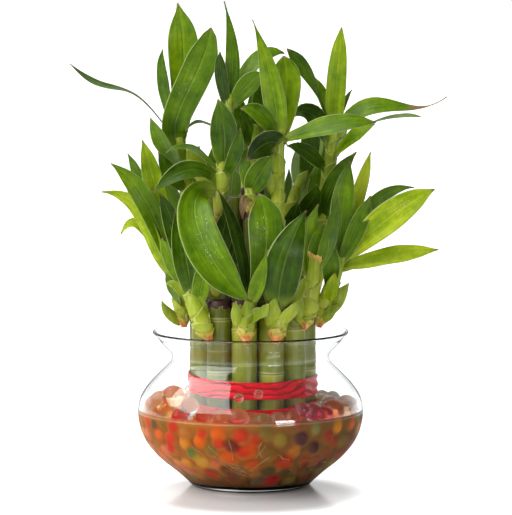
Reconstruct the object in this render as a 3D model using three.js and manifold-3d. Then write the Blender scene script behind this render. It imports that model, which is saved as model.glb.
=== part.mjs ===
// Lucky bamboo: nineteen tied canes with leafy shoots, standing in a round-bellied glass bowl of
// water and coloured gel beads. Millimetres, +Z up, the front of the plant looks along -Y.
// The origin is the centre of the bowl's flat base.

import * as THREE from 'three';
import { mergeVertices } from 'three/addons/utils/BufferGeometryUtils.js';
import Module from 'manifold-3d';

const wasm = await Module();
wasm.setup();

// Clearance kept between pieces that touch.
const GAP = 0.3;

// Glass bowl
const WALL = 1.9;
const FLOOR = 4.2;
const FLOOR_RADIUS = 29;
const BOWL_SEGMENTS = 32;
const BOWL_OUTSIDE = [
  [25, 0], [30.5, 1.8], [38, 8], [46.5, 15], [53.2, 23.5], [56.5, 33.5], [56, 43],
  [52.2, 51], [45.8, 58.2], [38.9, 64], [44, 69.5], [48.5, 77],
];
const RIM_HEIGHT = 78.2;
const RIM = [[49.2, RIM_HEIGHT - 0.4], [48.6, RIM_HEIGHT]];

// Water and beads
const WATER_LEVEL = 38;
const BEAD_RADIUS = 4.9;
const BEAD_CENTRE_HEIGHT = 38.6;
const BEAD_ROWS = [
  { radius: 38.2, centre: 1, count: 22 },
  { radius: 47, centre: 0, count: 26 },
];

// Bundle of canes
const BUNDLE_X = 1;
const OUTER_RING = 25.8;
const INNER_RING = 13;
const OUTER_RADIUS = 6.3;
const INNER_RADIUS = 6.1;
const OUTER_START = -8.9;
const INNER_START = 6.1;
const CANE_FOOT = 12;
const CANE_SIDES = { outer: 9, inner: 8 };
const NODE_BULGE = 0.25;
const NODE_RAMP = 1.8;
const NODE_SPACING = 27;
const FIRST_NODE = 27;
const NODE_STAGGER = 5;
const BARE_TOP = 8;
const TOP_ROUNDING = 0.8;

// Ribbon ties
const RIBBON_INSIDE = 32.65;
const RIBBON_THICKNESS = 0.8;
const UPPER_TIE = { low: 46.3, high: 54.9, riseLeft: 2, riseRight: 0.8 };
const LOWER_TIE = { low: 35.4, high: 41.6, riseLeft: 0.5, riseRight: 1 };

// Blades and sheaths
const BLADE_THICKNESS = 0.7;
const RIB_THICKNESS = 1.1;
const BLADE_FOLD = 0.22;
const WIDEST_AT = 0.48;
const ROOT_WIDTH = 0.42;
const ROOT_POWER = 1.3;
const TIP_WIDTH = 0.7;
const TIP_POWER = 0.8;
const ROOT_DEPTH = 0.75;
const SHORT_BLADE = 34;
const LONG_BLADE = 60;
const FOLDED_WIDTH = 10.5;
const STEM_SIDES = 6;
const STEM_SWELL = [[0, 0.22], [0.16, 0.72], [0.36, 1], [0.68, 0.82], [1, 0.5]];
const SHORT_STATIONS = [0, 0.35, 0.72, 1];
const MIDDLE_STATIONS = [0, 0.22, 0.46, 0.76, 1];
const LONG_STATIONS = [0, 0.18, 0.4, 0.64, 0.86, 1];

const GLASS = new THREE.MeshStandardMaterial({ color: 0xe6f0ee, roughness: 0.05, metalness: 0 });
const BEADS = new THREE.MeshStandardMaterial({ color: 0xa8502e, roughness: 0.15, metalness: 0 });
const CANE = new THREE.MeshStandardMaterial({ color: 0x8a9a3c, roughness: 0.45, metalness: 0 });
const LEAF = new THREE.MeshStandardMaterial({ color: 0x5d8a22, roughness: 0.4, metalness: 0 });
const SATIN = new THREE.MeshStandardMaterial({ color: 0xd0142a, roughness: 0.35, metalness: 0 });

// Which way the upper face of a blade looks.
const FRONT = [0, -1, 0.15];
const FRONT_UP = [0, -0.8, 0.6];
const UP = [0, -0.25, 1];
const LEFT_FRONT = [-0.6, -0.8, 0.1];
const RIGHT_FRONT = [0.6, -0.8, 0.1];
const BACK = [0, 1, 0.4];
const BACK_LEFT = [-0.7, 0.7, 0.4];
const BACK_RIGHT = [0.7, 0.7, 0.4];

// One row for each plant. A cane stands in the outer or inner ring at its slot, or in the centre, and
// ends at its top. The shoot's sheathed stem follows three points with a radius at its thickest.
// A leaf is its midrib's points from root to tip, its width, and where its upper face looks.
const PLANTS = [
  {
    name: 'outer_01', ring: 'outer', slot: 0, top: 98, thick: 4.6,
    stem: [[-2, -36.4, 76.5], [-2, -35.9, 86], [0, -38, 97]],
    leaves: [
      [[[0, -38.5, 92], [7.5, -43, 124], [4, -39, 149.5]], 17, FRONT],
      [[[-1, -38, 92], [-5.5, -38, 124], [-16, -33, 151]], 8, RIGHT_FRONT],
      [[[-4, -38, 84], [-6.5, -41.5, 90], [-7, -42, 97]], 6, FRONT],
      [[[1, -39, 86], [5, -43, 91], [8.5, -44.5, 96]], 7, FRONT_UP],
    ],
  },
  {
    name: 'outer_02', ring: 'outer', slot: 1, top: 92, thick: 4.8,
    stem: [[12.5, -35.2, 76.5], [13.6, -34.2, 86], [15, -36, 98]],
    leaves: [
      [[[13, -36, 92], [18.5, -40, 119], [28, -34, 141.5]], 18, FRONT],
      [[[16, -37, 82], [20, -39.5, 90], [23.5, -38, 97]], 8, RIGHT_FRONT],
      [[[12, -38, 84], [11, -41.5, 91], [12.5, -41, 99]], 8, FRONT],
      [[[17, -33, 92], [23, -31, 100], [27, -29, 108]], 7, FRONT],
    ],
  },
  {
    name: 'outer_03', ring: 'outer', slot: 2, top: 90, thick: 4.6,
    stem: [[27, -22, 82], [29.5, -23, 96], [32, -23, 118]],
    leaves: [
      [[[32, -24, 106], [33, -27.5, 120], [36.5, -27, 134]], 10, FRONT],
      [[[33, -23, 108], [39, -21.5, 127], [43, -20, 146]], 9, RIGHT_FRONT],
      [[[31, -22, 106], [29, -19, 124], [33.5, -18, 143]], 8, FRONT],
      [[[27, -25, 84], [24, -28.5, 92], [25, -28, 101]], 6, FRONT],
    ],
  },
  {
    name: 'outer_04', ring: 'outer', slot: 3, top: 94, thick: 4.6,
    stem: [[34.5, -5.5, 81], [39, -8, 97], [46, -10, 117]],
    leaves: [
      [[[45, -10.5, 111], [70, -14, 116.5], [93.5, -15, 120]], 11, FRONT_UP],
      [[[45, -11, 114], [69, -20, 137], [91, -22, 150.5]], 15, FRONT],
      [[[46, -8, 115], [62, -2, 142], [82, -1, 150]], 8, FRONT_UP],
      [[[45, -12, 111], [53, -17, 131], [59.5, -17, 147]], 9, FRONT],
      [[[46, -7, 114], [53.5, -3, 145], [60, -2, 168]], 9.5, RIGHT_FRONT],
      [[[45, -10, 112], [45.5, -13, 140], [49.5, -12, 164]], 12, FRONT],
      [[[37, -8, 88], [43, -12, 95], [49, -12, 103]], 8, FRONT],
      [[[38, -9, 92], [40, -16, 100], [42, -17, 109]], 7, FRONT],
      [[[40, -10, 99], [40, -17, 113], [38, -19, 125]], 9, FRONT],
      [[[35, -9, 83], [39, -14, 88], [45, -14, 93]], 5.5, FRONT],
    ],
  },
  {
    name: 'outer_05', ring: 'outer', slot: 4, top: 104, thick: 4.4,
    stem: [[33.2, 12, 90], [36.6, 11, 135], [43, 6, 182]],
    leaves: [
      [[[42.5, 6, 174], [43, 1, 204], [45.5, 0, 230]], 10.5, FRONT],
      [[[43, 6, 174], [60, 1, 192.5], [78, -1, 190.5], [98, -3, 195.5]], 10, FRONT_UP],
      [[[43, 8, 172], [65, 9, 183], [86, 8, 185]], 6, UP],
      [[[42, 5, 165], [53, -3, 177], [62, -7, 182]], 8, FRONT_UP],
      [[[41, 5, 174], [32, -1, 200], [18, -5, 219.5]], 7.5, [0.7, -0.6, 0.3]],
      [[[41, 7, 168], [31, 4, 186], [21, 3, 185]], 11, FRONT_UP],
      [[[43, 9, 178], [37, 9, 194], [32, 8, 205]], 6, FRONT],
      [[[44, 9, 177], [47, 11, 191], [52, 10, 199]], 4, FRONT],
      [[[39, 7, 157], [29, 1, 167], [18, -3, 171]], 9, FRONT_UP],
      [[[37, 8, 128], [41, 1, 150], [53, -3, 168]], 10, FRONT],
      [[[40, 9, 158], [45, 23, 172], [48, 33, 182]], 12, BACK_RIGHT],
    ],
  },
  {
    name: 'outer_06', ring: 'outer', slot: 5, top: 96, thick: 4.4,
    stem: [[23, 27.6, 80], [24.4, 30, 101], [28, 36, 120]],
    leaves: [
      [[[28, 36, 112], [40, 48, 138], [50, 54, 158]], 15, BACK_RIGHT],
      [[[27, 37, 114], [31, 50, 148], [27, 54, 178]], 15, BACK],
      [[[26, 36, 108], [22, 51, 134], [20, 61, 156]], 14, BACK_LEFT],
      [[[28, 34, 116], [35, 36, 146], [38, 33, 172]], 12, FRONT],
      [[[28, 34, 106], [46, 36, 124], [62, 32, 128]], 11, BACK_RIGHT],
    ],
  },
  {
    name: 'outer_07', ring: 'outer', slot: 6, top: 93, thick: 4.4,
    stem: [[6.4, 35, 80], [6.8, 37, 99], [8, 43, 116]],
    leaves: [
      [[[8, 43, 110], [8, 58, 142], [5, 63, 172]], 16, BACK],
      [[[7, 43, 108], [-4, 60, 128], [-10, 68, 146]], 13, BACK_LEFT],
      [[[9, 44, 108], [21, 62, 124], [28, 71, 136]], 13, BACK_RIGHT],
      [[[8, 41, 112], [8, 45, 150], [13, 43, 184]], 14, BACK],
      [[[8, 45, 102], [8, 64, 112], [6, 78, 105]], 11, [0, 0.3, 1]],
    ],
  },
  {
    name: 'outer_08', ring: 'outer', slot: 7, top: 97, thick: 4.4,
    stem: [[-11.8, 33.2, 80], [-12.8, 35, 99], [-16, 41, 118]],
    leaves: [
      [[[-16, 41, 112], [-21, 55, 140], [-19, 62, 166]], 15, BACK],
      [[[-16, 40, 112], [-34, 51, 134], [-46, 56, 148]], 14, BACK_LEFT],
      [[[-15, 40, 114], [-10, 50, 148], [-8, 49, 177]], 14, BACK],
      [[[-16, 38, 110], [-27, 41, 140], [-30, 38, 164]], 12, BACK_LEFT],
      [[[-16, 41, 104], [-37, 51, 114], [-54, 56, 110]], 11, BACK_LEFT],
    ],
  },
  {
    name: 'outer_09', ring: 'outer', slot: 8, top: 105, thick: 4.4,
    stem: [[-25.9, 21.6, 92], [-30.4, 16.6, 136], [-36, 8, 175]],
    leaves: [
      [[[-36, 8, 168], [-29.5, -1, 203], [-18, -6, 230]], 17, FRONT],
      [[[-36.5, 9, 170], [-33, 11, 212], [-37, 8, 241]], 15, FRONT],
      [[[-37, 9, 170], [-43.5, 10, 200], [-44, 8, 219]], 7.5, LEFT_FRONT],
      [[[-37, 7, 168], [-57, 1, 196], [-71, -2, 200.5], [-90, -4, 212]], 9, UP],
      [[[-34, 8, 155], [-43, 2, 171], [-50, -1, 185]], 11, LEFT_FRONT],
      [[[-33, 10, 145], [-40, 2, 157], [-46, -2, 168]], 8, FRONT],
      [[[-30, 19, 125], [-42, 26, 148], [-52, 28, 160]], 11, BACK_LEFT],
      [[[-33, 14, 150], [-41, 27, 166], [-44, 35, 177]], 12, BACK_LEFT],
    ],
  },
  {
    name: 'outer_10', ring: 'outer', slot: 9, top: 94, thick: 4.6,
    stem: [[-33.6, 3, 80], [-35.6, 1.5, 95], [-41, -2, 112]],
    leaves: [
      [[[-40, -3, 101], [-48, -7, 123], [-57, -9, 141], [-74, -11, 148.5]], 10, LEFT_FRONT],
      [[[-41, 0, 104], [-54, 2, 130], [-65, 0, 126.5]], 7, FRONT_UP],
      [[[-40, -4, 106], [-51, -14, 142], [-69, -18, 163]], 11, FRONT],
      [[[-41, 1, 106], [-55, 5, 140], [-63, 4, 154]], 8, LEFT_FRONT],
      [[[-41, 0, 108], [-47.5, -3, 148], [-54, -4, 174]], 11, FRONT],
      [[[-41, 2, 108], [-53, 10, 146], [-62, 12, 166.5]], 8, LEFT_FRONT],
      [[[-36, -1, 82], [-41, -3, 87], [-44.5, -4, 93.5]], 5, FRONT],
      [[[-38, -2, 88], [-38.5, -7, 99], [-42.5, -8, 108]], 7, LEFT_FRONT],
    ],
  },
  {
    name: 'outer_11', ring: 'outer', slot: 10, top: 92, thick: 5,
    stem: [[-20.2, -26.1, 77], [-25.6, -26, 88], [-32, -19, 104]],
    leaves: [
      [[[-30, -20, 96], [-32, -26, 117], [-37, -24, 141]], 13, FRONT],
      [[[-32, -18, 99], [-39, -19, 114], [-44, -17, 126]], 8, LEFT_FRONT],
      [[[-31, -18, 100], [-37, -19, 128], [-45, -21, 149]], 10, FRONT],
      [[[-28, -21, 91], [-24, -27, 105], [-20, -28, 121]], 9, FRONT],
      [[[-27, -22, 84], [-24.5, -26.5, 91], [-24, -26, 99]], 8, FRONT],
      [[[-31, -20, 93], [-36, -20, 102], [-42, -19, 103]], 6, FRONT_UP],
    ],
  },
  {
    name: 'outer_12', ring: 'outer', slot: 11, top: 95.5, thick: 3.6,
    stem: [[-16.5, -17.5, 94], [-17.5, -19.5, 108], [-19, -20.5, 120]],
    leaves: [
      [[[-18, -20, 111], [-14, -25.5, 127], [-11.5, -25, 142]], 10, FRONT],
      [[[-19, -19, 113], [-26, -19, 134], [-28, -18, 152]], 10, FRONT],
      [[[-17, -20, 105], [-10, -23, 115], [-7, -24, 128]], 8, FRONT],
    ],
  },
  {
    name: 'inner_1', ring: 'inner', slot: 0, top: 138, thick: 3.2,
    stem: [[1, -16, 136], [0, -16.5, 145], [-1, -17, 153]],
    leaves: [
      [[[-1, -18, 147], [4, -21, 157], [11.5, -21, 168]], 12, FRONT],
      [[[-1, -17, 148], [-2.5, -19.5, 160], [-1.5, -19.5, 172]], 6, FRONT],
      [[[0, -18, 145], [-3, -25, 145], [-4, -28, 136]], 8, FRONT_UP],
    ],
  },
  {
    name: 'inner_2', ring: 'inner', slot: 1, top: 122, thick: 3.8,
    stem: [[12.9, -14.1, 108], [13.4, -13.4, 142], [15, -11, 180]],
    leaves: [
      [[[14, -12, 173], [10, -16, 204], [1, -18, 234]], 11, FRONT],
      [[[15.5, -10, 174], [17.5, -7, 198], [16.5, -5, 216]], 15, FRONT],
      [[[13.5, -13, 174], [5, -18, 187], [-5, -19, 190]], 10, FRONT_UP],
      [[[15, -13, 172], [8, -21, 173], [-2, -26, 165]], 12, [0, -1, -0.3]],
      [[[16, -13, 174], [40, -21, 182], [62, -23, 183.5]], 11, FRONT_UP],
      [[[12.5, -15.5, 148], [9.5, -18.5, 155], [7.5, -19, 163]], 5, FRONT],
    ],
  },
  {
    name: 'inner_3', ring: 'inner', slot: 2, top: 128, thick: 3.6,
    stem: [[17, 12.6, 116], [20, 14, 137], [29, 14, 160]],
    leaves: [
      [[[28.5, 13, 152], [30, 9, 170], [31, 8, 186]], 10, FRONT],
      [[[28, 15, 150], [33, 22, 164], [36, 28, 176]], 9, BACK_RIGHT],
      [[[27, 16, 146], [26, 28, 160], [24, 37, 171]], 11, BACK],
      [[[25, 13, 134], [30, 3, 142], [33, -2, 152]], 9, FRONT],
      [[[22.5, 13, 122], [21, 4, 132], [23.5, 0, 143]], 9, FRONT],
    ],
  },
  {
    name: 'inner_4', ring: 'inner', slot: 3, top: 132, thick: 3.6,
    stem: [[-1.4, 20.6, 120], [-2, 22.8, 145], [0, 25, 168]],
    leaves: [
      [[[-0.5, 24, 160], [-10, 24, 174], [-16, 22, 184]], 11, FRONT],
      [[[0, 25, 160], [9, 28, 178], [14, 30, 190]], 11, BACK_RIGHT],
      [[[0, 26, 158], [1, 40, 176], [0, 50, 184]], 13, BACK],
      [[[-1, 26, 150], [-10, 36, 162], [-16, 44, 170]], 11, BACK_LEFT],
      [[[0, 24, 162], [2, 21, 182], [1, 18, 200]], 10, FRONT],
    ],
  },
  {
    name: 'inner_5', ring: 'inner', slot: 4, top: 126, thick: 3.6,
    stem: [[-18.4, 8.8, 114], [-19.8, 8.4, 138], [-22, 8, 158]],
    leaves: [
      [[[-22, 7.5, 150], [-27, 4, 162], [-32, 2, 169]], 9, FRONT],
      [[[-22, 9, 150], [-25, 14, 162], [-26, 18, 170]], 10, BACK_LEFT],
      [[[-21.5, 7, 150], [-17, 2, 164], [-14, 0, 177]], 9, FRONT],
      [[[-21, 7, 134], [-27, -2, 140], [-33, -8, 150]], 9, LEFT_FRONT],
    ],
  },
  {
    name: 'inner_6', ring: 'inner', slot: 5, top: 146, thick: 3.6,
    stem: [[-17, -13.4, 132], [-13.5, -11.5, 162], [-10, -9, 197]],
    leaves: [
      [[[-10.5, -9, 190], [-9, -9.5, 217], [-13, -9, 243]], 7, FRONT],
      [[[-11.5, -9.5, 188], [-14.5, -12.5, 206], [-15, -13, 218]], 6.5, FRONT],
      [[[-10, -8.5, 192], [3, -5, 213.5], [17, -1, 217]], 10, [-0.3, -0.8, 0.5]],
      [[[-10, -10, 190], [-1, -13, 202], [6.5, -14, 207]], 10, FRONT],
      [[[-12, -11, 178], [-24, -14, 183.5], [-32, -15, 179]], 5.5, UP],
      [[[-13, -13, 160], [-13, -19.5, 178], [-16, -22, 195]], 14, FRONT],
      [[[-12.5, -14, 156], [-7.5, -22, 168], [-5, -24, 181]], 7, FRONT],
      [[[-15, -14, 154], [-30, -22, 160], [-48, -27, 149]], 11, FRONT_UP],
      [[[-15, -12.5, 158], [-29, -13, 170], [-42, -14, 168]], 9, UP],
      [[[-15, -15, 150], [-27.5, -33, 144], [-20.5, -46, 121], [-1, -50, 98.5]], 19, FRONT],
    ],
  },
  {
    name: 'centre', ring: 'centre', slot: 0, top: 150, thick: 3.2,
    stem: [[1, 1, 148], [2, 0, 165], [3, -1, 182]],
    leaves: [
      [[[3, -1.5, 174], [5.5, -2, 192], [6, -1, 208]], 10, FRONT],
      [[[2, -1, 170], [-4, -3, 183], [-5, -2, 197]], 9, FRONT],
      [[[3, 1, 172], [11, 7, 186], [17, 10, 194]], 9, BACK_RIGHT],
      [[[1.5, 2, 164], [-7, 9, 176], [-14, 12, 182]], 9, BACK_LEFT],
    ],
  },
];

// A closed body as a solid that can be joined and cut.
function toSolid(geometry) {
  const bare = geometry.clone();
  bare.deleteAttribute('normal');
  bare.deleteAttribute('uv');
  const merged = mergeVertices(bare, 1e-4);
  const corners = [];
  const index = merged.index.array;
  for (let i = 0; i < index.length; i += 3) {
    const [a, b, c] = [index[i], index[i + 1], index[i + 2]];
    if (a !== b && b !== c && c !== a) corners.push(a, b, c);
  }
  return new wasm.Manifold(new wasm.Mesh({
    numProp: 3,
    vertProperties: new Float32Array(merged.attributes.position.array),
    triVerts: new Uint32Array(corners),
  }));
}

function toGeometry(solid) {
  const { vertProperties, triVerts } = solid.getMesh();
  const geometry = new THREE.BufferGeometry();
  geometry.setAttribute('position', new THREE.BufferAttribute(vertProperties, 3));
  geometry.setIndex(new THREE.BufferAttribute(triVerts, 1));
  geometry.computeVertexNormals();
  return geometry;
}

// Joins rings of equally many points into one closed skin. The second half of each ring splits its
// quads the other way, so that both faces of a thin blade are split alike.
function skin(rings) {
  const sides = rings[0].length;
  const positions = rings.flat().flatMap((point) => point.toArray());
  const index = [];
  for (let j = 0; j + 1 < rings.length; j += 1) {
    for (let i = 0; i < sides; i += 1) {
      const a = j * sides + i;
      const b = j * sides + ((i + 1) % sides);
      const [c, d] = [b + sides, a + sides];
      if (i < sides / 2) index.push(a, b, c, a, c, d);
      else index.push(a, b, d, b, c, d);
    }
  }
  const last = (rings.length - 1) * sides;
  for (let i = 0; i < Math.ceil(sides / 2) - 1; i += 1) {
    const far = sides - 1 - i;
    index.push(i, far, i + 1, last + i, last + i + 1, last + far);
    if (i + 1 < far - 1) index.push(i + 1, far, far - 1, last + i + 1, last + far - 1, last + far);
  }
  const geometry = new THREE.BufferGeometry();
  geometry.setAttribute('position', new THREE.Float32BufferAttribute(positions, 3));
  geometry.setIndex(index);
  return geometry;
}

// A smooth curve through three or four points.
function through(points) {
  const [a, b, c, d] = points.map((point) => new THREE.Vector3(...point));
  if (!d) {
    const handle = b.clone().multiplyScalar(2).addScaledVector(a, -0.5).addScaledVector(c, -0.5);
    return new THREE.QuadraticBezierCurve3(a, handle, c);
  }
  const mix = (wa, wb, wc, wd) => a.clone().multiplyScalar(wa / 6).addScaledVector(b, wb / 6)
    .addScaledVector(c, wc / 6).addScaledVector(d, wd / 6);
  return new THREE.CubicBezierCurve3(a, mix(-5, 18, -9, 2), mix(2, -9, 18, -5), d);
}

// Share of a blade's full width along its length: a clasping root, a broad middle, a drawn-out tip.
function bladeShare(t) {
  if (t < WIDEST_AT) {
    const rise = Math.sin((Math.PI / 2) * (t / WIDEST_AT)) ** ROOT_POWER;
    return ROOT_WIDTH + (1 - ROOT_WIDTH) * rise;
  }
  return Math.cos((Math.PI / 2) * ((t - WIDEST_AT) / (1 - WIDEST_AT))) ** TIP_POWER;
}

// A leaf's root, drawn in towards the axis of the stem that it grows from.
function sunk(root, stem) {
  const [low, high] = [stem[0][2], stem[2][2]];
  const share = THREE.MathUtils.clamp((root[2] - low) / (high - low), 0, 1);
  return new THREE.Vector3(...root).lerp(through(stem).getPoint(share), ROOT_DEPTH).toArray();
}

// Where a blade has its cross-sections: few on a short one.
function stationsAlong(length) {
  if (length < SHORT_BLADE) return SHORT_STATIONS;
  return length < LONG_BLADE ? MIDDLE_STATIONS : LONG_STATIONS;
}

// A lance-shaped blade. A broad one is folded a little along its midrib, a narrow one is flat.
function blade([[root, ...rest], width, face], stem) {
  const rib = through([sunk(root, stem), ...rest]);
  const stations = stationsAlong(rib.getLength());
  const looks = new THREE.Vector3(...face);
  const rings = stations.map((t) => {
    const centre = rib.getPoint(t);
    const along = rib.getTangent(t);
    const side = along.clone().cross(looks).normalize();
    const up = side.clone().cross(along).normalize();
    const half = Math.max((width / 2) * bladeShare(t), TIP_WIDTH / 2);
    const at = (across, lift) => centre.clone().addScaledVector(side, across).addScaledVector(up, lift);
    if (width < FOLDED_WIDTH) {
      return [at(-half, 0), at(half, 0), at(half, -BLADE_THICKNESS), at(-half, -BLADE_THICKNESS)];
    }
    const lift = BLADE_FOLD * half;
    return [
      at(-half, lift), at(0, 0), at(half, lift),
      at(half, lift - BLADE_THICKNESS), at(0, -RIB_THICKNESS), at(-half, lift - BLADE_THICKNESS),
    ];
  });
  return skin(rings);
}

// The stem of overlapping sheaths: pointed at its root, thickest a third of the way, thin on top.
function sheathedStem(points, thick) {
  const path = through(points);
  const rings = STEM_SWELL.map(([t, share]) => {
    const centre = path.getPoint(t);
    const along = path.getTangent(t);
    const side = along.clone().cross(new THREE.Vector3(0, 1, 0)).normalize();
    const other = along.clone().cross(side);
    return Array.from({ length: STEM_SIDES }, (_, i) => {
      const turn = (i / STEM_SIDES) * 2 * Math.PI;
      return centre.clone().addScaledVector(side, thick * share * Math.cos(turn))
        .addScaledVector(other, thick * share * Math.sin(turn));
    });
  });
  return skin(rings);
}

function lathe(profile, segments) {
  const geometry = new THREE.LatheGeometry(profile.map(([r, z]) => new THREE.Vector2(r, z)), segments);
  return geometry.rotateX(Math.PI / 2);
}

// Where a plant's cane stands, its radius and the height of its first node.
function canePlace({ ring, slot }) {
  if (ring === 'centre') {
    const firstNode = FIRST_NODE + NODE_STAGGER;
    return { x: BUNDLE_X, y: 0, radius: INNER_RADIUS, sides: CANE_SIDES.inner, firstNode };
  }
  const outer = ring === 'outer';
  const step = outer ? 30 : 60;
  const angle = THREE.MathUtils.degToRad((outer ? OUTER_START : INNER_START) + step * slot);
  const reach = outer ? OUTER_RING : INNER_RING;
  return {
    x: BUNDLE_X + reach * Math.sin(angle),
    y: -reach * Math.cos(angle),
    radius: outer ? OUTER_RADIUS : INNER_RADIUS,
    sides: outer ? CANE_SIDES.outer : CANE_SIDES.inner,
    firstNode: FIRST_NODE + (slot % 2 ? NODE_STAGGER : 0) + (outer ? 0 : NODE_STAGGER / 2),
  };
}

// A jointed cane: a slim ridge at each node and a cut, slightly rounded top.
function canePiece(plant) {
  const { x, y, radius, sides, firstNode } = canePlace(plant);
  const profile = [[0, CANE_FOOT], [radius, CANE_FOOT]];
  for (let z = firstNode; z < plant.top - BARE_TOP; z += NODE_SPACING) {
    profile.push([radius, z - NODE_RAMP], [radius + NODE_BULGE, z]);
  }
  profile.push([radius, plant.top - TOP_ROUNDING], [radius - TOP_ROUNDING, plant.top], [0, plant.top]);
  return lathe(profile, sides).translate(x, y, 0);
}

// The room that a shoot leaves free for its own cane.
function caneRoom(plant) {
  const { x, y, radius, sides } = canePlace(plant);
  const room = radius + NODE_BULGE + GAP;
  const profile = [[0, CANE_FOOT], [room, CANE_FOOT], [room, plant.top + GAP], [0, plant.top + GAP]];
  return toSolid(lathe(profile, sides).translate(x, y, 0));
}

function shootPiece(plant) {
  const blades = plant.leaves.map((leaf) => blade(leaf, plant.stem));
  const parts = [sheathedStem(plant.stem, plant.thick), ...blades].map(toSolid);
  const whole = parts.reduce((sum, part) => sum.add(part));
  return toGeometry(whole.subtract(caneRoom(plant)));
}

// Moves each point of a profile along the profile's own normal.
function inset(profile, distance) {
  return profile.map(([r, z], i) => {
    const [r0, z0] = profile[Math.max(i - 1, 0)];
    const [r1, z1] = profile[Math.min(i + 1, profile.length - 1)];
    const length = Math.hypot(r1 - r0, z1 - z0);
    return [r - (distance * (z1 - z0)) / length, z + (distance * (r1 - r0)) / length];
  });
}

function bowlPiece() {
  const inside = inset(BOWL_OUTSIDE, WALL).filter(([, z]) => z > FLOOR + 1).reverse();
  const profile = [[0, 0], ...BOWL_OUTSIDE, ...RIM, ...inside, [FLOOR_RADIUS, FLOOR], [0, FLOOR]];
  return lathe(profile, BOWL_SEGMENTS);
}

// The bed of beads and water: it fills the bowl to the water line, with one row of beads against the
// glass and one round the canes standing half out of the water, and a well for the tied bundle.
function bedPiece() {
  const wall = inset(BOWL_OUTSIDE, WALL + GAP).filter(([, z]) => z > FLOOR + 1);
  const above = wall.findIndex(([, z]) => z > WATER_LEVEL);
  const [[r0, z0], [r1, z1]] = [wall[above - 1], wall[above]];
  const edge = r0 + ((r1 - r0) * (WATER_LEVEL - z0)) / (z1 - z0);
  const sides = [...wall.slice(0, above), [edge, WATER_LEVEL]];
  const profile = [[0, FLOOR + GAP], [FLOOR_RADIUS - GAP, FLOOR + GAP], ...sides, [0, WATER_LEVEL]];
  let bed = toSolid(lathe(profile, BOWL_SEGMENTS));
  for (const { radius, centre, count } of BEAD_ROWS) {
    for (let i = 0; i < count; i += 1) {
      const turn = (i / count) * 2 * Math.PI;
      const bead = new THREE.IcosahedronGeometry(BEAD_RADIUS).rotateZ(i)
        .translate(centre + radius * Math.cos(turn), radius * Math.sin(turn), BEAD_CENTRE_HEIGHT);
      bed = bed.add(toSolid(bead));
    }
  }
  return toGeometry(bed.subtract(bundleWell()));
}

// The well that the tied canes stand in, wider where the lower ribbon goes round them.
function bundleWell() {
  const low = CANE_FOOT - GAP;
  const across = OUTER_RING + OUTER_RADIUS + NODE_BULGE + GAP;
  const around = RIBBON_INSIDE + RIBBON_THICKNESS + GAP;
  const widens = LOWER_TIE.low - GAP;
  const profile = [[0, low], [across, low], [across, widens], [around, widens],
    [around, RIM_HEIGHT], [0, RIM_HEIGHT]];
  return toSolid(lathe(profile, BOWL_SEGMENTS).translate(BUNDLE_X, 0, 0));
}

// A flat ribbon pulled round the canes, lying a little higher at its sides.
function tiePiece({ low, high, riseLeft, riseRight }) {
  const outside = RIBBON_INSIDE + RIBBON_THICKNESS;
  const section = [[RIBBON_INSIDE, low], [outside, low], [outside, high], [RIBBON_INSIDE, high]];
  const geometry = lathe([...section, section[0]], BOWL_SEGMENTS);
  const place = geometry.attributes.position;
  for (let i = 0; i < place.count; i += 1) {
    const side = place.getX(i) / outside;
    const rise = side > 0 ? riseRight : riseLeft;
    place.setZ(i, place.getZ(i) + rise * side ** 2);
  }
  return geometry.translate(BUNDLE_X, 0, 0);
}

function piece(name, geometry, material) {
  const mesh = new THREE.Mesh(geometry, material);
  mesh.name = name;
  return mesh;
}

const bamboo = new THREE.Group();
bamboo.add(piece('glass_bowl', bowlPiece(), GLASS));
bamboo.add(piece('gel_beads_in_water', bedPiece(), BEADS));
bamboo.add(piece('ribbon_upper', tiePiece(UPPER_TIE), SATIN));
bamboo.add(piece('ribbon_lower', tiePiece(LOWER_TIE), SATIN));
for (const plant of PLANTS) {
  bamboo.add(piece(`cane_${plant.name}`, canePiece(plant), CANE));
  bamboo.add(piece(`shoot_${plant.name}`, shootPiece(plant), LEAF));
}

export default bamboo;
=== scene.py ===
"""Looks of the lucky bamboo: nineteen tied canes with leafy shoots in a clear glass bowl of water and
coloured gel beads. Shapes are worked out in millimetres; they become metres when a mesh is made."""
import math

import bmesh
import bpy
import numpy as np
from mathutils import Matrix, Vector, noise


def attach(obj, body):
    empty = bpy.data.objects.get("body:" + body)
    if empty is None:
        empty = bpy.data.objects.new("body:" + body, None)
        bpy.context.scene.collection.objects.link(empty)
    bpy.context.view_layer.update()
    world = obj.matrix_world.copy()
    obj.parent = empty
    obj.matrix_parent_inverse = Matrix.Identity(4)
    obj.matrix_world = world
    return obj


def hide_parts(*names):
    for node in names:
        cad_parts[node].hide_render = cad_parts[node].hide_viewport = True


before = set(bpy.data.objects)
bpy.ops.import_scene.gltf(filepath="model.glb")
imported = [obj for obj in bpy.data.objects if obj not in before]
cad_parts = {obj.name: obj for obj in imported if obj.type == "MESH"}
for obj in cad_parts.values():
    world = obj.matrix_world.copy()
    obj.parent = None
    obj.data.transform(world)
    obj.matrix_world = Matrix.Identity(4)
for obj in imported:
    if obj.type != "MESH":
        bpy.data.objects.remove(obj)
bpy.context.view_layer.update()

MM = 0.001

# Which way the upper face of a blade looks
FRONT = (0, -1, 0.15)
FRONT_UP = (0, -0.8, 0.6)
UP = (0, -0.25, 1)
LEFT_FRONT = (-0.6, -0.8, 0.1)
RIGHT_FRONT = (0.6, -0.8, 0.1)
BACK = (0, 1, 0.4)
BACK_LEFT = (-0.7, 0.7, 0.4)
BACK_RIGHT = (0.7, 0.7, 0.4)

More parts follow.
